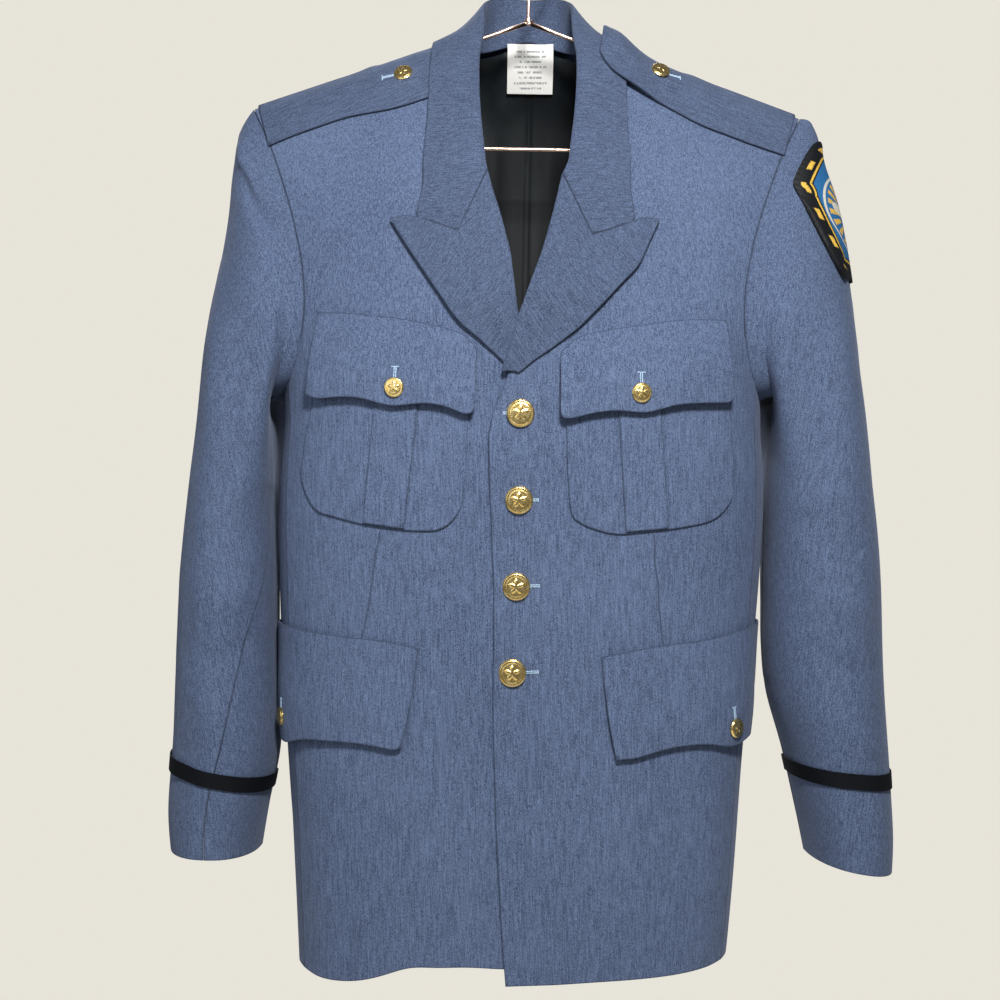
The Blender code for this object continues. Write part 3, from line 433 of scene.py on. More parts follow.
@dataclass(frozen=True)
class MetalFinish:
    """A plated metal with fine wear."""

    name: str
    colour: Colour
    worn: Colour
    roughness: float

    def make(self) -> Material:
        """Make the material."""
        recipe = Recipe(self.name)
        spots = recipe.noise(recipe.place(), 420.0, 3.0, 0.6)
        scuffs = recipe.noise(recipe.place(scale=(1.0, 1.0, 0.3)), 1600.0, 2.0)
        colour = recipe.blend(spots.step(0.42, 0.72), self.colour, self.worn)
        return recipe.finish(colour, spots * 0.16 + self.roughness - 0.08, Metallic=1.0,
                             Normal=recipe.bump(scuffs, 0.08, 0.1 * MM))


@dataclass(frozen=True)
class BraidFinish:
    """Black mohair braid with ribs along it."""

    colour: Colour = (0.0015, 0.002, 0.003)
    pale: Colour = (0.005, 0.007, 0.010)

    def make(self) -> Material:
        """Make the material."""
        recipe = Recipe("black_braid")
        wave = recipe.node("TexWave", {"bands_direction": "Z"}, Vector=recipe.place(), Scale=190.0,
                           Distortion=1.2, Detail=1.0, Detail_Scale=40.0)
        weave = recipe.number(wave, "Fac") * 0.6 + recipe.noise(recipe.place(), 1500.0, 2.0) * 0.4
        colour = recipe.blend(weave, self.colour, self.pale)
        return recipe.finish(colour, 0.72, Normal=recipe.bump(weave, 0.4, 0.3 * MM), Specular_IOR_Level=0.12)


@dataclass(frozen=True)
class ThreadFinish:
    """Twisted sewing thread."""

    colour: Colour = (0.26, 0.42, 0.60)
    pale: Colour = (0.52, 0.68, 0.84)

    def make(self) -> Material:
        """Make the material."""
        recipe = Recipe("buttonhole_thread")
        twist = recipe.noise(recipe.place(), 1900.0, 2.0)
        colour = recipe.blend(twist.step(0.35, 0.65), self.colour, self.pale)
        return recipe.finish(colour, 0.6, Normal=recipe.bump(twist, 0.4, 0.2 * MM), Sheen_Weight=0.2)


@dataclass(frozen=True)
class LabelFinish:
    """White woven tape with plain grey bars in rows.

    Attributes:
        middle: X of the bars' middle.
        top: Z of the first row.
        pitch: Height from row to row.
    """

    middle: float = 1.2 * MM
    top: float = -89.5 * MM
    pitch: float = 4.4 * MM

    def make(self) -> Material:
        """Make the material."""
        recipe = Recipe("label_tape")
        x, _, z = recipe.axes()
        row = (self.top - z) / self.pitch
        inside = row.math("FRACT")
        reach = (row.math("FLOOR") * 2.39).math("SINE") * 2.6 * MM + 12.2 * MM
        bar = (abs(x - self.middle) - reach).step(0.4 * MM, -0.4 * MM)
        bar = bar * inside.step(0.16, 0.26) * inside.step(0.66, 0.56)
        bar = bar * row.step(-0.02, 0.02) * row.step(7.6, 7.5)
        weave = recipe.noise(recipe.place(), 1700.0, 2.0)
        breaks = recipe.noise(recipe.place(scale=(1.0, 1.0, 0.05)), 700.0, 1.0).step(0.36, 0.5)
        cloth = recipe.blend(weave.step(0.3, 0.7), (0.70, 0.70, 0.68), (0.83, 0.83, 0.81))
        colour = recipe.blend(bar * breaks * 0.75, cloth, (0.16, 0.17, 0.19))
        return recipe.finish(colour, 0.75, Normal=recipe.bump(weave, 0.25, 0.2 * MM))


@dataclass(frozen=True)
class PatchFinish:
    """Embroidered arm patch: black merrowed rim, gold lines, blue field, and a plain star with rays."""

    black: Colour = (0.003, 0.004, 0.006)
    gold: Colour = (0.68, 0.43, 0.07)
    blue: Colour = (0.020, 0.13, 0.32)
    silver: Colour = (0.62, 0.60, 0.52)

    def make(self) -> Material:
        """Make the material."""
        recipe = Recipe("arm_patch")
        rim, across, down = (recipe.kept(name) for name in ("rim", "across", "down"))
        stitch = recipe.noise(recipe.place(scale=(1.0, 1.0, 0.3)), 1100.0, 2.0)
        field = rim.step(17.0 * MM, 17.6 * MM)
        line = rim.step(13.6 * MM, 14.2 * MM) * rim.step(16.2 * MM, 15.6 * MM)
        beads = (across * 95.0 + down * 260.0).math("SINE").step(0.15, 0.5)
        beads = beads * rim.step(6.0 * MM, 6.8 * MM) * rim.step(11.2 * MM, 10.4 * MM)
        radius = (across * across + down * down).math("SQRT")
        angle = across.math("ARCTAN2", down)
        lobes = (angle * 5.0).math("COSINE")
        star = (radius - lobes * 9.0 * MM).step(18.2 * MM, 17.6 * MM)
        rays = (angle * 20.0).math("SINE").step(-0.3, 0.2) * radius.step(18.0 * MM, 18.6 * MM)
        rays = rays * radius.step(31.6 * MM, 31.0 * MM) * field
        ring = abs(radius - 34.5 * MM).step(1.4 * MM, 0.8 * MM) * field
        colour = recipe.blend(field, self.black, self.blue)
        marks = (line + beads + rays).least(1.0)
        colour = recipe.blend(marks * stitch.step(0.25, 0.45), colour, self.gold)
        silver = (star + ring).least(1.0)
        colour = recipe.blend(silver * stitch.step(0.2, 0.4), colour, self.silver)
        marks = (marks + silver).least(1.0)
        merrow = (across * 900.0 + down * 900.0).math("SINE") * rim.step(4.0 * MM, 3.0 * MM)
        height = stitch + marks * 0.8 + merrow * 0.6
        return recipe.finish(colour, 0.62, Normal=recipe.bump(height, 0.4, 0.4 * MM), Specular_IOR_Level=0.3)


def path_distance(points: Points, path: Points) -> tuple[Points, Points]:
    """Find how far points are from a path, seen from the front.

    Args:
        points: The places, one to a row.
        path: X and Z of the path's places, one to a row.

    Returns:
        Each point's distance from the path, and the share of the path at its nearest place.
    """
    flat = points[:, [0, 2]]
    steps = np.linalg.norm(np.diff(path, axis=0), axis=1)
    before = np.concatenate([[0.0], np.cumsum(steps)])
    best = np.full(len(points), 9.0)
    where = np.zeros(len(points))
    for i, step in enumerate(steps):
        run = path[i + 1] - path[i]
        share = np.clip((flat - path[i]) @ run / step**2, 0.0, 1.0)
        far = np.linalg.norm(flat - path[i] - share[:, None] * run, axis=1)
        closer = far < best
        best[closer] = far[closer]
        where[closer] = (before[i] + share * step)[closer] / before[-1]
    return best, where


@dataclass(frozen=True)
class Fold:
    """A soft ridge in the cloth, or a trough where its height is negative.

    Attributes:
        path: X and Z of its places, in millimetres.
        width: Its half width.
        height: Its height in the middle.
        face: Which face of the coat it is on.
    """

    path: Path
    width: float
    height: float
    face: Face

    def rise(self, points: Points) -> Points:
        """How far the fold lifts each point.

        Args:
            points: The places, one to a row.

        Returns:
            The lift of each, in metres.
        """
        best, where = path_distance(points, np.array(self.path) * MM)
        fade = np.clip(4.0 * where * (1.0 - where), 0.0, 1.0) ** 0.7
        facing = np.clip(0.5 + self.face.value * points[:, 1] / (30 * MM), 0.0, 1.0)
        return self.height * MM * np.exp(-((best / (self.width * MM)) ** 2)) * fade * facing


def eased(low: float, high: float, values: Points) -> Points:
    """0 at low, 1 at high and a soft step between, for each value."""
    share = np.clip((values - low) / (high - low), 0.0, 1.0)
    return share * share * (3.0 - 2.0 * share)


@dataclass(frozen=True)
class Stand:
    """How a flap or lapel stands off the cloth away from its fold.

    Attributes:
        fold: X and Z of its fold's places, in millimetres.
        start: How far from the fold it begins to stand off.
        end: How far from the fold it stands off wholly.
        height: How far it stands off there.
    """

    fold: Path
    start: float
    end: float
    height: float

    def rise(self, points: Points) -> Points:
        """How far each point is lifted, in metres."""
        far = path_distance(points, np.array(self.fold) * MM)[0]
        return self.height * MM * eased(self.start * MM, self.end * MM, far)


@dataclass
class Drape:
    """How a part of the coat departs from its plain solid.

    Attributes:
        folds: Its ridges and troughs.
        wave: The height of its slow unevenness.
        half_width: Half the width of the oval that its form is close to.
        half_depth: Half that oval's depth.
        fullness: How square that oval is: 1 for round, and more for squarer.
    """

    folds: tuple[Fold, ...]
    wave: float = 0.6 * MM
    half_width: float = 1.0
    half_depth: float = 1.0
    fullness: float = 1.0

    def middle(self, points: Points) -> tuple[Points, Points]:
        """X and Y of the form's middle at each point's height."""
        raise NotImplementedError

    def free(self, points: Points) -> Points:
        """How free of its seams the cloth is at each point, from 0 to 1."""
        raise NotImplementedError

    def outward(self, points: Points) -> Points:
        """The direction square to the form's oval at each point."""
        way = np.zeros_like(points)
        halves = (self.half_width, self.half_depth)
        for axis, (middle, half) in enumerate(zip(self.middle(points), halves)):
            share = (points[:, axis] - middle) / half
            way[:, axis] = np.sign(share) * np.abs(share) ** self.fullness / half
        return way / np.maximum(np.linalg.norm(way, axis=1), 1e-9)[:, None]

    def moved(self, points: Points, stand: Stand | None = None) -> Points:
        """The points, lifted by the folds.

        Args:
            points: The places, one to a row.
            stand: How the piece that they are on stands off, if it does.

        Returns:
            The new places.
        """
        x, y, z = points.T
        slow = np.sin(x / 0.031 + 1.7 * np.sin(z / 0.085) + 2.1 * np.sign(y))
        slow += 0.7 * np.sin(z / 0.052 + x / 0.06 + 1.3) + 0.5 * np.sin(x / 0.017 - z / 0.12 + 0.6)
        lift = slow * self.wave / 2.2
        for fold in self.folds:
            lift = lift + fold.rise(points)
        lift = lift * self.free(points)
        if stand is not None:
            lift = lift + stand.rise(points)
        return points + self.outward(points) * lift[:, None]


@dataclass
class BodyDrape(Drape):
    """The drape of the fronts, sides and backs, and of what lies on them.

    Attributes:
        below_arms: The heights over which it comes free below the armholes.
        chest_top: The heights over which it comes free below the collar.
        chest_side: The distances from the middle over which the chest comes free.
    """

    half_width: float = 205 * MM
    half_depth: float = 100 * MM
    fullness: float = 1.8
    below_arms: tuple[float, float] = (-0.405, -0.47)
    chest_top: tuple[float, float] = (-0.17, -0.24)
    chest_side: tuple[float, float] = (0.175, 0.13)

    def middle(self, points: Points) -> tuple[Points, Points]:
        """The body's middle, which leans."""
        return LEAN * points[:, 2], np.zeros(len(points))

    def free(self, points: Points) -> Points:
        """Free below the armholes, and in the middle of the chest and back."""
        across = np.abs(points[:, 0] - LEAN * points[:, 2])
        chest = eased(*self.chest_side, across) * eased(*self.chest_top, points[:, 2])
        return np.maximum(eased(*self.below_arms, points[:, 2]), chest)


# height of the armhole's seam and its distance from the middle
ARMHOLE = ((-0.41, 0.200), (-0.35, 0.1975), (-0.28, 0.2005), (-0.25, 0.207), (-0.22, 0.2145),
           (-0.19, 0.2245), (-0.16, 0.236))


# how far out a sleeve's middle is at shoulder and cuff, how far forward its cuff is, and their heights
SHOULDER_OUT, CUFF_OUT, CUFF_FORWARD = 0.232, 0.274, 0.030
SHOULDER_HEIGHT, CUFF_HEIGHT = -0.25, -0.81


def sleeve_middle(side: Side, height: float | Points) -> tuple[float | Points, float | Points]:
    """X and Y of a sleeve's middle at a height, or at each of many."""
    share = np.clip((SHOULDER_HEIGHT - height) / (SHOULDER_HEIGHT - CUFF_HEIGHT), 0.0, 1.0)
    return side.value * (SHOULDER_OUT + (CUFF_OUT - SHOULDER_OUT) * share), -CUFF_FORWARD * share**1.4


@dataclass
class SleeveDrape(Drape):
    """The drape of one sleeve, and of what lies on it.

    Attributes:
        side: The wearer's side.
        below_arms: The heights over which it comes free below the armhole.
        head: The heights over which it comes free below its head.
        from_seam: The distances from the armhole's seam over which its head comes free.
    """

    half_width: float = 42 * MM
    half_depth: float = 60 * MM
    side: Side = Side.LEFT
    below_arms: tuple[float, float] = (-0.43, -0.50)
    head: tuple[float, float] = (-0.160, -0.190)
    from_seam: tuple[float, float] = (0.003, 0.018)

    def middle(self, points: Points) -> tuple[Points, Points]:
        """The sleeve's middle, which swings forward."""
        return sleeve_middle(self.side, points[:, 2])

    def free(self, points: Points) -> Points:
        """Free below the sleeve's head, and a little way out from the armhole's seam."""
        seam = np.interp(points[:, 2], *np.array(ARMHOLE).T)
        outer = eased(*self.from_seam, self.side.value * points[:, 0] - seam)
        return np.maximum(eased(*self.below_arms, points[:, 2]), outer * eased(*self.head, points[:, 2]))


def folds(front: tuple, back: tuple, both: tuple = ()) -> tuple[Fold, ...]:
    """The folds of a part of the coat.

    Args:
        front: A fold of the front face to a row: its half width and height, and then its places.
        back: Those of the back face.
        both: Those of both faces, which are swells where the body and a sleeve lie close.

    Returns:
        The folds.
    """
    rows = ((Face.FRONT, both + front), (Face.BACK, both + back))
    return tuple(Fold(tuple(path), width, height, face)
                 for face, several in rows for width, height, *path in several)


BODY_FOLDS = folds(
    front=(
        (5, 1.6, (-140, -830), (-141, -855), (-142, -885)),
        (7, -1.4, (-148, -820), (-150, -850), (-151, -885)),
        (26, 1.6, (-92, -560), (-86, -680), (-80, -800), (-76, -880)),
        (20, -1.5, (-40, -640), (-46, -740), (-48, -860)),
        (24, 1.6, (60, -560), (66, -660), (70, -780), (74, -880)),
        (20, -1.6, (112, -640), (118, -760), (120, -870)),
        (16, 1.4, (160, -720), (162, -800), (158, -880)),
        (16, -1.2, (30, -640), (34, -740), (30, -870)),
        (12, -1.4, (-20, -400), (-32, -430), (-40, -470)),
        (13, 2.6, (-31, -430), (-36, -480), (-34, -540), (-32, -620), (-31, -700), (-29, -800), (-24, -900)),
        (10, 1.0, (-60, -440), (-20, -452), (-2, -458)),
        (9, 0.9, (44, -440), (24, -452), (6, -458)),
        (16, -1.4, (150, -300), (120, -320), (90, -326)),
        (16, -1.4, (-160, -290), (-128, -312), (-96, -322)),
    ),
    back=(
        (22, 2.0, (-60, -230), (-40, -420), (-50, -640)),
        (26, 1.8, (70, -260), (60, -460), (84, -700)),
        (24, -2.0, (-150, -470), (-118, -620), (-126, -860)),
        (22, -1.8, (140, -480), (128, -640), (140, -870)),
        (14, -1.2, (-110, -170), (-70, -196), (-20, -206)),
        (14, -1.4, (110, -176), (64, -204), (16, -210)),
        (18, -1.6, (-40, -720), (-34, -800), (-30, -880)),
        (16, 1.4, (30, -700), (36, -790), (40, -880)),
    ),
    both=(
        (30, 2.4, (-216, -420), (-216, -520), (-218, -640), (-218, -760)),
        (24, 3.4, (204, -385), (202, -440), (201, -520), (200, -590), (200, -650)),
    ),
)

LAPEL_ROLLS = {
    Side.LEFT: ((29, -226), (22, -258), (14, -289), (5, -315), (-5, -344), (-14, -373), (-18, -389)),
    Side.RIGHT: ((-32, -224), (-27, -242), (-20, -264), (-12, -294), (-5, -344), (2, -370), (7, -388)),
}

FLAP_STANDS = {
    "breast_flap_left": Stand(((24, -372), (50, -358), (103, -347), (166, -342)), 8, 55, 4.5),
    "breast_flap_right": Stand(((-45, -372), (-58, -358), (-103, -348), (-183, -341)), 8, 55, 4.5),
    "lower_flap_left": Stand(((56, -619), (104, -610), (154, -604), (200, -600)), 10, 80, 3.5),
    "lower_flap_right": Stand(((-92, -615), (-117, -610), (-160, -607), (-212, -603)), 10, 80, 3.5),
}

RIGHT_SLEEVE_FOLDS = folds(
    front=(
        (5, 4.5, (-249, -180), (-246, -200), (-240, -218), (-232, -236), (-220, -256)),
        (8, -7.0, (-246, -206), (-240, -228), (-228, -248), (-210, -272)),
        (7, 2.5, (-262, -284), (-266, -330), (-268, -400), (-271, -450)),
        (13, -2.8, (-240, -330), (-244, -420), (-252, -500)),
        (13, -3.0, (-222, -480), (-240, -520), (-262, -545)),
        (12, 2.2, (-224, -560), (-246, -576), (-284, -580)),
        (12, -2.5, (-228, -600), (-252, -622), (-290, -630)),
        (12, 2.0, (-250, -650), (-262, -690), (-270, -740)),
        (10, -1.8, (-282, -660), (-288, -720), (-292, -780)),
    ),
    back=(
        (13, -3.2, (-240, -320), (-238, -420), (-246, -520)),
        (12, 2.5, (-262, -300), (-270, -420), (-280, -560)),
        (12, -2.8, (-226, -560), (-250, -590), (-286, -600)),
        (11, 2.2, (-236, -640), (-256, -664), (-292, -668)),
    ),
    both=(
        (12, 1.8, (-221, -420), (-220, -520), (-220, -640), (-221, -750)),
    ),
)

LEFT_SLEEVE_FOLDS = folds(
    front=(
        (13, -2.8, (232, -330), (236, -420), (244, -500)),
        (12, 2.2, (262, -320), (268, -400), (276, -480)),
        (13, -2.8, (226, -500), (246, -528), (276, -540)),
        (12, 2.2, (224, -560), (250, -580), (286, -590)),
        (12, -2.5, (228, -610), (254, -630), (292, -640)),
        (12, 2.0, (238, -660), (262, -690), (296, -704)),
        (10, -1.9, (262, -700), (274, -740), (282, -790)),
    ),
    back=(
        (13, -3.2, (236, -330), (240, -430), (248, -520)),
        (12, 2.5, (262, -310), (270, -420), (280, -540)),
        (12, -2.8, (226, -580), (252, -604), (290, -610)),
        (11, 2.2, (232, -650), (262, -668), (298, -676)),
    ),
    both=(
        (14, 3.2, (212, -385), (209, -440), (208, -520), (208, -590), (208, -650)),
    ),
)


@dataclass(frozen=True)
class Cut:
    """What a piece was cut to, in metres: width, length and area."""

    width: float
    length: float
    area: float


def select_only(piece: Piece) -> None:
    """Select one object and make it active."""
    bpy.ops.object.select_all(action="DESELECT")
    piece.select_set(True)
    bpy.context.view_layer.objects.active = piece


def read_points(mesh: bpy.types.Mesh) -> Points:
    """The mesh's places, one to a row."""
    points = np.zeros(len(mesh.vertices) * 3)
    mesh.vertices.foreach_get("co", points)
    return points.reshape(-1, 3)


def write_points(mesh: bpy.types.Mesh, points: Points) -> None:
    """Give the mesh new places."""
    mesh.vertices.foreach_set("co", points.reshape(-1))
    mesh.update()


def copied(node: str, name: str) -> Piece:
    """A copy of a CAD node as whole quads.

    Args:
        node: The node's name.
        name: The new piece's name.

    Returns:
        The piece.
    """
    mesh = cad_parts[node].data.copy()
    mesh.name = name
    mesh.materials.clear()
    piece = bpy.data.objects.new(name, mesh)
    bpy.context.scene.collection.objects.link(piece)
    select_only(piece)
    bpy.ops.mesh.customdata_custom_splitnormals_clear()
    bpy.ops.object.mode_set(mode="EDIT")
    bpy.ops.mesh.select_all(action="SELECT")
    bpy.ops.mesh.remove_doubles(threshold=0.01 * MM)
    bpy.ops.mesh.tris_convert_to_quads(face_threshold=math.radians(60), shape_threshold=math.radians(70))
    bpy.ops.object.mode_set(mode="OBJECT")
    return piece


def refine(piece: Piece, levels: int, sharp: float) -> None:
    """Round a piece through its own points, with its rims kept crisp.

    Args:
        piece: The piece.
        levels: How many times it is subdivided.
        sharp: The angle between faces, in degrees, from which an edge is a rim.
    """
    form = bmesh.new()
    form.from_mesh(piece.data)
    crease = form.edges.layers.float.get("crease_edge") or form.edges.layers.float.new("crease_edge")
    for edge in form.edges:
        edge[crease] = 1.0 if edge.calc_face_angle(0.0) > math.radians(sharp) else 0.0
    form.to_mesh(piece.data)
    form.free()
    rounding = piece.modifiers.new("rounding", "SUBSURF")
    rounding.levels = rounding.render_levels = levels
    aim = read_points(piece.data)
    control = aim.copy()
    for _ in range(3):
        reached = read_points(piece.evaluated_get(bpy.context.evaluated_depsgraph_get()).data)[: len(aim)]
        control += aim - reached
        write_points(piece.data, control)
    select_only(piece)
    bpy.ops.object.modifier_apply(modifier="rounding")
    piece.data.shade_smooth()


def coated(piece: Piece, name: str, finish: Material) -> None:
    """Name a new mesh, give it its only finish and shade it smooth."""
    piece.name = piece.data.name = name
    piece.data.materials.clear()
    piece.data.materials.append(finish)
    piece.data.shade_smooth()


def declare(piece: Piece, node: str = "") -> None:
    """Say where a piece belongs, hide its CAD node, and log how many faces it has.

    Args:
        piece: The piece.
        node: The CAD node that it stands for, if any.
    """
    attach(piece, "root")
    if node:
        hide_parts(node)
    LOG.info("%s: %d faces", piece.name, len(piece.data.polygons))


def add_number(mesh: bpy.types.Mesh, name: str, values: Points) -> None:
    """Keep a number for each point of a mesh under a name."""
    layer = mesh.attributes.new(name, "FLOAT", "POINT")
    layer.data.foreach_set("value", np.asarray(values, dtype=np.float32))


@dataclass
class SewnPiece:
    """One sewn piece: a rounded shell on its solid's form, with the coat's folds in it.

    Attributes:
        node: The CAD node that it stands for.
        finish: Its outer material.
        cut: What it was cut to. Not used.
        drape: The folds that reach it, if any.
        lining: The material of its inner face, if it has one.
        levels: How finely it is rounded.
        sharp: The angle from which an edge is a rim.
        held: How the cloth is held. Not used.
        slot: The name of its material slot. Not used.
        rests_on: The node that carries it. Not used.
        stand: How it stands off the cloth under it, if it does.
        longer: How much further down it is sewn than its solid.
    """

    node: str
    finish: Material
    cut: Cut
    drape: Drape | None = None
    lining: Material | None = None
    levels: int = 2
    sharp: float = 55.0
    held: str = "laid"
    slot: str = "wool"
    rests_on: str = "hanger_wire"
    stand: Stand | None = None
    longer: float = 0.0

    def build(self) -> Piece:
        """Returns:
            The piece.
        """
        piece = copied(self.node, self.node + "_cloth")
        refine(piece, self.levels, self.sharp)
        piece.data.materials.append(self.finish)
        if self.lining is not None:
            self.line(piece)
        self.mark_rims(piece)
        if self.drape is not None:
            points = self.drape.moved(read_points(piece.data), self.stand)
            points[:, 2] -= self.longer * eased(points[:, 2].max(), points[:, 2].min(), points[:, 2])
            write_points(piece.data, points)
        declare(piece, self.node)
        return piece

    def mark_rims(self, piece: Piece) -> None:
        """Shade the rims crisp and the cloth soft, and keep each point's distance from a rim."""
        select_only(piece)
        bpy.ops.object.shade_smooth_by_angle(angle=RIM_ANGLE, keep_sharp_edges=False)
        tree = rim_tree(piece.data)
        add_number(piece.data, "rim", [tree.find(corner.co)[2] for corner in piece.data.vertices])

    def line(self, piece: Piece) -> None:
        """Give the inner face its lining."""
        piece.data.materials.append(self.lining)
        side = Side.LEFT if self.node.endswith("left") else Side.RIGHT
        for face in piece.data.polygons:
            middle = face.center
            inside = Vector((0.6 * middle.x, 0.0, middle.z - 0.06))
            if self.node.startswith("sleeve"):
                inside = Vector((*sleeve_middle(side, middle.z), middle.z))
            if face.normal.dot(middle - inside) < 0.0:
                face.material_index = 1


@dataclass
class CoatBody:
    """The fronts, sides and backs with what is sewn on them."""

    wool: Material
    wool_front: Material
    satin: Material
    drape: BodyDrape = field(default_factory=lambda: BodyDrape(BODY_FOLDS))
    pieces: dict[str, Piece] = field(default_factory=dict)

    def build(self) -> None:
        """Build every piece of both halves."""
        for side in Side:
            self.panels(side)
            self.pockets(side)

    def panels(self, side: Side) -> None:
        """The front, side and back of one half."""
        rows = (
            ("front_", self.wool_front, Cut(0.256, 0.81, 0.163), 3),
            ("side_", self.wool, Cut(0.115, 0.50, 0.054), 2),
            ("back_", self.wool, Cut(0.255, 0.81, 0.156), 2),
        )
        for name, finish, cut, levels in rows:
            node = name + side.word
            maker = SewnPiece(node, finish, cut, self.drape, self.satin, levels, held="hung")
            self.pieces[node] = maker.build()

    def pockets(self, side: Side) -> None:
        """The breast pocket with its pleat and flap, and the lower flap."""
        rows = (
            ("breast_pocket_", Cut(0.142, 0.145, 0.0193), 0.0),
            ("breast_pleat_", Cut(0.037, 0.136, 0.0049), 2.5 * MM),
            ("breast_flap_", Cut(0.142, 0.080, 0.0100), 0.0),
            ("lower_flap_", Cut(0.250, 0.100, 0.0234), 0.0),
        )
        for name, cut, longer in rows:
            node = name + side.word
            maker = SewnPiece(node, self.wool, cut, self.drape, rests_on="front_" + side.word,
                              stand=FLAP_STANDS.get(node), longer=longer)
            self.pieces[node] = maker.build()


@dataclass
class NeckAndShoulders:
    """The collar, lapels and shoulder straps."""

    drape: BodyDrape
    pieces: dict[str, Piece] = field(default_factory=dict)

    def build(self) -> None:
        """Build every piece."""
        # painted shade: the collar, lapels and straps are painted darker than the fronts, with painted shade
        # along their rims
        collar = WoolFinish(Grain.COLLAR, 0.6, 0.72).make()
        maker = SewnPiece("collar", collar, Cut(0.52, 0.105, 0.0437), sharp=80.0, held="folded")
        self.pieces["collar"] = maker.build()
        for side, lapel, strap in ((Side.LEFT, Grain.LAPEL_LEFT, Grain.STRAP_LEFT),
                                   (Side.RIGHT, Grain.LAPEL_RIGHT, Grain.STRAP_RIGHT)):
            front = "front_" + side.word
            node = "lapel_" + side.word
            finish = WoolFinish(lapel, 0.4, 0.74).make()
            maker = SewnPiece(node, finish, Cut(0.100, 0.180, 0.0096), self.drape, sharp=80.0, held="folded",
                              rests_on=front, stand=Stand(LAPEL_ROLLS[side], 14, 60, 3.0))
            self.pieces[node] = maker.build()
            node = "epaulette_" + side.word
            finish = WoolFinish(strap, 0.5, 0.74).make()
            self.pieces[node] = SewnPiece(node, finish, Cut(0.168, 0.080, 0.0117), rests_on=front).build()


SLEEVE_CUTS = {
    Side.LEFT: {"sleeve_top": Cut(0.285, 0.67, 0.146), "sleeve_under": Cut(0.125, 0.60, 0.0562)},
    Side.RIGHT: {"sleeve_top": Cut(0.250, 0.66, 0.1253), "sleeve_under": Cut(0.140, 0.60, 0.0637)},
}


@dataclass
class Sleeve:
    """One sleeve with its braid, and with the patch on the wearer's left."""

    side: Side
    satin: Material
    braid: Material

    def build(self) -> None:
        """Build every piece."""
        word = self.side.word
        left = self.side is Side.LEFT
        drape = SleeveDrape(LEFT_SLEEVE_FOLDS if left else RIGHT_SLEEVE_FOLDS, side=self.side)
        # painted shade: the sleeves are painted a little darker than the fronts, with painted shade along
        # their rims
        wool = WoolFinish(Grain.SLEEVE_LEFT if left else Grain.SLEEVE_RIGHT, 0.4, 0.90).make()
        for name, cut in SLEEVE_CUTS[self.side].items():
            SewnPiece(name + "_" + word, wool, cut, drape, self.satin, 3, held="hung").build()
        top = "sleeve_top_" + word
        SewnPiece("cuff_braid_" + word, self.braid, Cut(0.0145, 0.31, 0.0044), drape, slot="braid",
                  rests_on=top).build()
        if left:
            maker = SewnPiece("sleeve_patch", PatchFinish().make(), Cut(0.130, 0.115, 0.0134), drape,
                              levels=3, slot="patch", rests_on=top)
            patch = maker.build()
            places = read_points(patch.data)
            places -= places.mean(axis=0)
            add_number(patch.data, "across", places[:, 1])
            add_number(patch.data, "down", places[:, 2])


def rim_tree(mesh: bpy.types.Mesh) -> KDTree:
    """A search tree of the points where a thin wall's faces turn sharply.

    Args:
        mesh: The wall's mesh.

    Returns:
        The tree.
    """
    form = bmesh.new()
    form.from_mesh(mesh)
    rim = {corner for edge in form.edges if edge.calc_face_angle(0.0) > RIM_ANGLE for corner in edge.verts}
    tree = KDTree(len(rim))
    for number, corner in enumerate(rim):
        tree.insert(corner.co, number)
    tree.balance()
    form.free()
    return tree


@dataclass
class Lining:
    """The satin inside the back, and the label on it."""

    satin: Material
    folds: tuple[Triple, ...] = (
        (-52.0, 10.0, 2.0), (-26.0, 8.0, -1.6), (20.0, 8.0, -1.4), (40.0, 10.0, 1.9), (66.0, 10.0, -1.4),
    )

    def build(self) -> None:
        """Build the lining and the label."""
        maker = SewnPiece("lining_back", self.satin, Cut(0.21, 0.36, 0.052), levels=3, held="hung",
                          slot="lining", rests_on="collar")
        piece = maker.build()
        points = read_points(piece.data)
        x = (points[:, 0] - LEAN * points[:, 2]) / MM
        height = points[:, 2]
        below = eased(-0.11, -0.19, height)
        lift = np.zeros(len(points))
        for middle, width, depth in self.folds:
            drift = middle * (1.0 + 0.9 * (-0.10 - height))
            lift += depth * MM * np.exp(-(((x - drift) / width) ** 2))
        seam = -1.6 * MM * np.exp(-(((x - 3.0) / 1.6) ** 2)) * eased(-0.09, -0.12, height)
        points[:, 1] -= lift * below + seam
        write_points(piece.data, points)
        SewnPiece("neck_label", LabelFinish().make(), Cut(0.041, 0.047, 0.0019), slot="label",
                  rests_on="lining_back").build()


def upright(axis: Vector) -> tuple[Vector, Vector]:
    """The level direction and the upward one square to an axis."""
    across = Vector((0.0, 0.0, 1.0)).cross(axis).normalized()
    return across, axis.cross(across).normalized()


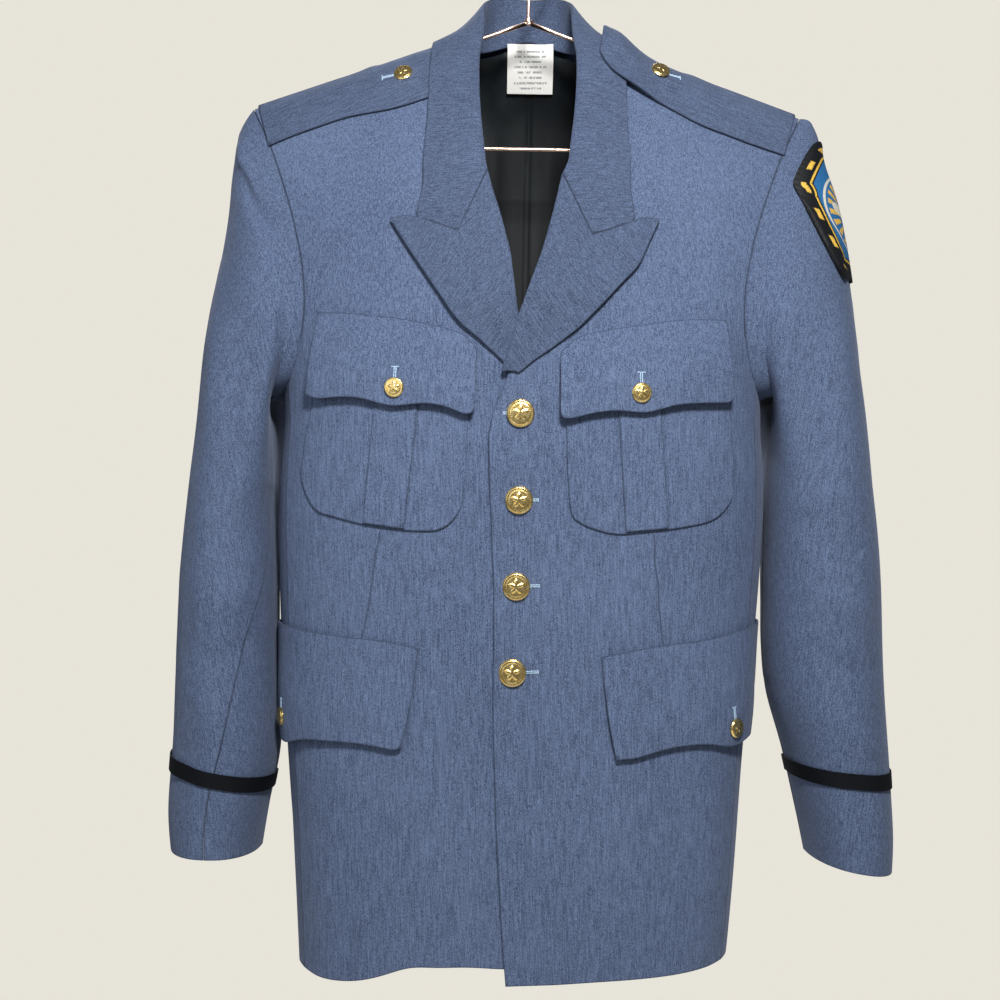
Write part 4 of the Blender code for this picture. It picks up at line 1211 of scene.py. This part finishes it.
@dataclass
class Button:
    """A domed gilt button with a rope rim and a plain star.

    Attributes:
        node: The CAD node that it stands for.
        finish: The metal.
        centre: The middle of its seat.
        axis: Its direction away from the cloth.
        radius: Its radius.
        height: How far it stands out.
    """

    node: str
    finish: Material
    centre: Vector = field(default_factory=Vector)
    axis: Vector = field(default_factory=Vector)
    radius: float = 0.0
    height: float = 0.0

    def measure(self) -> None:
        """Find the node's seat, direction and size."""
        points = np.unique(np.round(read_points(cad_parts[self.node].data), 6), axis=0)
        middle = points.mean(axis=0)
        _, _, ways = np.linalg.svd(points - middle)
        axis = ways[2]
        heights = (points - middle) @ axis
        if heights.max() < -heights.min():
            axis, heights = -axis, -heights
        self.axis = Vector(axis)
        low = points[heights < heights.min() + 0.12 * (heights.max() - heights.min())]
        self.centre = Vector(low.mean(axis=0))
        spokes = points - np.array(self.centre)
        spokes -= np.outer(spokes @ axis, axis)
        self.radius = float(np.linalg.norm(spokes, axis=1).max())
        self.height = float(heights.max() - heights.min())

    def build(self, drape: Drape | None, stand: Stand | None) -> None:
        """Build the button on its seat.

        Args:
            drape: The folds of the cloth that it is on, if any.
            stand: How that cloth stands off, if it does.
        """
        self.measure()
        bpy.ops.object.select_all(action="DESELECT")
        bpy.ops.mesh.primitive_uv_sphere_add(segments=80, ring_count=36, radius=1.0)
        piece = bpy.context.active_object
        bpy.ops.object.mode_set(mode="EDIT")
        bpy.ops.mesh.select_all(action="SELECT")
        bpy.ops.mesh.bisect(plane_co=(0, 0, 0), plane_no=(0, 0, 1), use_fill=True, clear_inner=True)
        bpy.ops.object.mode_set(mode="OBJECT")
        points = read_points(piece.data)
        self.shape(points)
        base = np.array(self.centre)
        if drape is not None:
            base = drape.moved(base[None, :], stand)[0]
        write_points(piece.data, base + points @ np.array((*upright(self.axis), self.axis)))
        coated(piece, self.node + "_gilt", self.finish)
        declare(piece, self.node)
        self.centre = Vector(base)

    def shape(self, points: Points) -> None:
        """Press the rope rim and the star into a half ball, in place.

        Args:
            points: The half ball's places, made the button's.
        """
        reach = np.hypot(points[:, 0], points[:, 1])
        turn = np.arctan2(points[:, 0], points[:, 1])
        top = points[:, 2] > 1e-6
        dome = 0.42 + 0.58 * np.sqrt(np.clip(1.0 - (reach / 1.02) ** 2, 0.0, 1.0))
        rope = np.exp(-(((reach - 0.90) / 0.075) ** 2)) * (0.16 + 0.07 * np.sin(36 * turn + 9.0 * reach))
        star = eased(0.03, -0.03, reach - 0.36 - 0.17 * np.cos(5 * turn)) * 0.16
        rays = eased(0.56, 0.62, reach) * eased(0.80, 0.74, reach) * 0.07 * np.abs(np.sin(15 * turn))
        height = (dome + rope + star + rays) * self.height * 0.88
        flat = eased(1.0, 0.97, reach)
        points[:, 2] = np.where(top, np.maximum(height * flat, 0.3 * self.height * (1 - flat)), 0.0)
        points[:, 0] *= self.radius
        points[:, 1] *= self.radius


@dataclass
class Buttonhole:
    """A worked buttonhole: two threads side by side and a bar across their end.

    Attributes:
        button: The button that is through it.
        reach: Where it starts and ends from the button's middle.
        angle: Its direction, in degrees, from the wearer's left round towards up.
        gap: How far apart its two threads lie.
        thread: How thick a thread is.
        bar: How long the bar across its end is.
    """

    button: Button
    reach: tuple[float, float]
    angle: float
    gap: float = 1.5 * MM
    thread: float = 0.85 * MM
    bar: float = 6.5 * MM

    def build(self, name: str, cloth: Piece, finish: Material) -> None:
        """Build the threads on the cloth.

        Args:
            name: The piece's name.
            cloth: The piece that it lies on.
            finish: The thread's material.
        """
        across, up = upright(self.button.axis)
        turn = math.radians(self.angle)
        way = across * math.cos(turn) + up * math.sin(turn)
        aside = self.button.axis.cross(way).normalized()
        start, end = (self.button.centre + way * reach for reach in self.reach)
        runs = [(start + aside * half, end + aside * half) for half in (-self.gap / 2, self.gap / 2)]
        runs.append((end - aside * self.bar / 2, end + aside * self.bar / 2))
        tree = BVHTree.FromPolygons([corner.co for corner in cloth.data.vertices],
                                    [face.vertices for face in cloth.data.polygons])
        threads = [self.laid(tree, *run) for run in runs]
        bpy.ops.object.select_all(action="DESELECT")
        for thread in threads:
            thread.select_set(True)
        bpy.context.view_layer.objects.active = threads[0]
        bpy.ops.object.join()
        piece = bpy.context.active_object
        coated(piece, name, finish)
        declare(piece)

    def laid(self, tree: BVHTree, start: Vector, end: Vector) -> Piece:
        """One thread laid on the cloth.

        Args:
            tree: The cloth's search tree.
            start: Where it starts.
            end: Where it ends.

        Returns:
            The thread.
        """
        bpy.ops.object.select_all(action="DESELECT")
        bpy.ops.mesh.primitive_cylinder_add(vertices=8, radius=self.thread / 2, depth=1.0)
        piece = bpy.context.active_object
        bpy.ops.object.mode_set(mode="EDIT")
        for height in np.linspace(-0.5, 0.5, 17)[1:-1]:
            bpy.ops.mesh.select_all(action="SELECT")
            bpy.ops.mesh.bisect(plane_co=(0, 0, float(height)), plane_no=(0, 0, 1))
        bpy.ops.object.mode_set(mode="OBJECT")
        axis = self.button.axis
        aside = axis.cross(end - start).normalized()
        placed = []
        for x, y, z in read_points(piece.data):
            spot = start.lerp(end, float(z) + 0.5)
            spot = tree.ray_cast(spot + axis * 8 * MM, -axis, 20 * MM)[0] or spot
            swell = 1.0 + 0.18 * math.sin(float(z) * 70.0)
            placed.append(spot + aside * float(x) * swell + axis * (float(y) * swell + 0.25 * MM))
        write_points(piece.data, np.array(placed))
        return piece


@dataclass
class Hanger:
    """The plated wire hanger, rounded on its solid's form."""

    finish: Material

    def build(self) -> None:
        """Build the hanger."""
        piece = copied("hanger_wire", "hanger_wire_plated")
        refine(piece, 1, 75.0)
        piece.data.materials.append(self.finish)
        declare(piece, "hanger_wire")


@dataclass
class Studio:
    """The camera, the pale floor and the soft light.

    Attributes:
        eye: Where the camera is.
        view_width: How wide the picture is at the coat's middle plane.
        floor_height: The height of the floor.
        pale: The colour that the camera sees behind the coat.
        room: The colour of the light from all round.
    """

    eye: Vector = field(default_factory=lambda: Vector((-0.026, -1.5, -0.493)))
    view_width: float = 0.87
    floor_height: float = -1.55
    pale: Colour = (0.800, 0.772, 0.697)
    room: Colour = (0.13, 0.137, 0.147)

    def camera(self) -> None:
        """Stand the camera where the photograph was taken."""
        data = bpy.data.cameras.new("camera")
        data.sensor_fit = "HORIZONTAL"
        data.angle = 2.0 * math.atan(self.view_width / 2.0 / -self.eye.y)
        data.clip_start = 0.05
        item = bpy.data.objects.new("camera", data)
        item.location = self.eye
        item.rotation_euler = (math.pi / 2, 0.0, 0.0)
        bpy.context.scene.collection.objects.link(item)
        bpy.context.scene.camera = item

    def light(self, name: str, place: Vector, size: float, power: float, colour: Colour) -> None:
        """Add a soft light that faces the coat.

        Args:
            name: The light's name.
            place: Where it is.
            size: Its width.
            power: Its power, in watts.
            colour: Its colour.
        """
        data = bpy.data.lights.new(name, "AREA")
        data.size = size
        data.energy = power
        data.color = colour
        item = bpy.data.objects.new(name, data)
        item.location = place
        item.rotation_euler = (COAT_MIDDLE - place).to_track_quat("-Z", "Y").to_euler()
        bpy.context.scene.collection.objects.link(item)

    def build(self) -> None:
        """Build the studio."""
        self.camera()
        scene = bpy.context.scene
        scene.view_settings.view_transform = "Standard"
        world = bpy.data.worlds.new("pale_room")
        world.use_nodes = True
        scene.world = world
        tree = world.node_tree
        path = tree.nodes.new("ShaderNodeLightPath")
        mix = tree.nodes.new("ShaderNodeMix")
        mix.data_type = "RGBA"
        mix.inputs[MIX_LOW].default_value = (*self.room, 1.0)
        mix.inputs[MIX_HIGH].default_value = (*self.pale, 1.0)
        tree.links.new(path.outputs["Is Camera Ray"], mix.inputs["Factor"])
        tree.links.new(mix.outputs[MIX_RESULT], tree.nodes["Background"].inputs["Color"])
        self.light("window", Vector((0.14, -1.25, 0.40)), 0.25, 29.0, (1.0, 0.98, 0.95))
        self.light("fill", Vector((-1.2, -1.6, 0.1)), 1.4, 8.0, (0.95, 0.97, 1.0))
        self.light("back", Vector((-0.3, 1.9, 1.0)), 1.6, 46.0, (0.98, 0.99, 1.0))
        bpy.ops.object.select_all(action="DESELECT")
        bpy.ops.mesh.primitive_circle_add(vertices=96, radius=2.0, fill_type="NGON",
                                          location=(0.0, 0.0, self.floor_height))
        floor = bpy.context.active_object
        floor.name = floor.data.name = "pale_floor"
        recipe = Recipe("pale_floor")
        grain = recipe.noise(recipe.place(), 40.0, 3.0)
        colour = recipe.blend(grain, (0.27, 0.26, 0.235), (0.30, 0.29, 0.265))
        finish = recipe.finish(colour, 0.9, Emission_Color=self.pale, Emission_Strength=0.72)
        floor.data.materials.append(finish)


# darts on the fronts, drawn as painted shade and a sunk bump
FRONT_DARTS = (
    SeamLine(((-0.124, -0.519), (-0.129, -0.549), (-0.133, -0.579), (-0.139, -0.606))),
    SeamLine(((0.100, -0.522), (0.100, -0.545), (0.103, -0.561), (0.104, -0.586), (0.107, -0.610))),
)


# of each button: where its hole starts and ends, its direction, its cloth and its bar, in mm and degrees
BUTTONHOLES = {
    "front_button_1": ((-14.5, -8.0), 0.0, "front_left", 3.0),
    "front_button_2": ((6.0, 15.5), 0.0, "front_left", 3.0),
    "front_button_3": ((6.0, 18.5), 2.0, "front_left", 3.0),
    "front_button_4": ((6.0, 21.0), 2.0, "front_left", 3.0),
    "breast_button_left": ((4.0, 16.5), 90.0, "breast_flap_left", 6.8),
    "breast_button_right": ((4.0, 16.8), 88.0, "breast_flap_right", 6.8),
    "lower_button_left": ((4.0, 17.5), 100.0, "lower_flap_left", 5.0),
    "lower_button_right": ((4.0, 15.5), 84.0, "lower_flap_right", 5.0),
    "epaulette_button_left": ((6.0, 18.5), -14.0, "epaulette_left", 6.5),
    "epaulette_button_right": ((6.0, 18.5), 194.0, "epaulette_right", 6.5),
}


def main() -> None:
    """Dress the coat."""
    logging.basicConfig(level=logging.INFO, format="%(name)s %(message)s")
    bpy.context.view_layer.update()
    Studio().build()
    # the body's wool gets painted shade of 0.5 along its rims
    wool = WoolFinish(Grain.BODY)
    satin = SatinFinish().make()
    gilt = MetalFinish("gilt", (0.86, 0.60, 0.20), (0.97, 0.80, 0.42), 0.27).make()
    thread = ThreadFinish().make()
    body = CoatBody(wool.make(), wool.make(FRONT_DARTS), satin)
    body.build()
    neck = NeckAndShoulders(body.drape)
    neck.build()
    for side in Side:
        Sleeve(side, satin, BraidFinish().make()).build()
    Lining(satin).build()
    Hanger(MetalFinish("rose_plate", (0.86, 0.58, 0.46), (0.96, 0.78, 0.66), 0.30).make()).build()
    cloth = {**body.pieces, **neck.pieces}
    for node, (reach, angle, piece, bar) in BUTTONHOLES.items():
        button = Button(node, gilt)
        button.build(None if node.startswith("epaulette") else body.drape, FLAP_STANDS.get(piece))
        hole = Buttonhole(button, tuple(end * MM for end in reach), angle, bar=bar * MM)
        hole.build("buttonhole_" + node.replace("_button", ""), cloth[piece], thread)


if __name__ == "__main__":
    main()
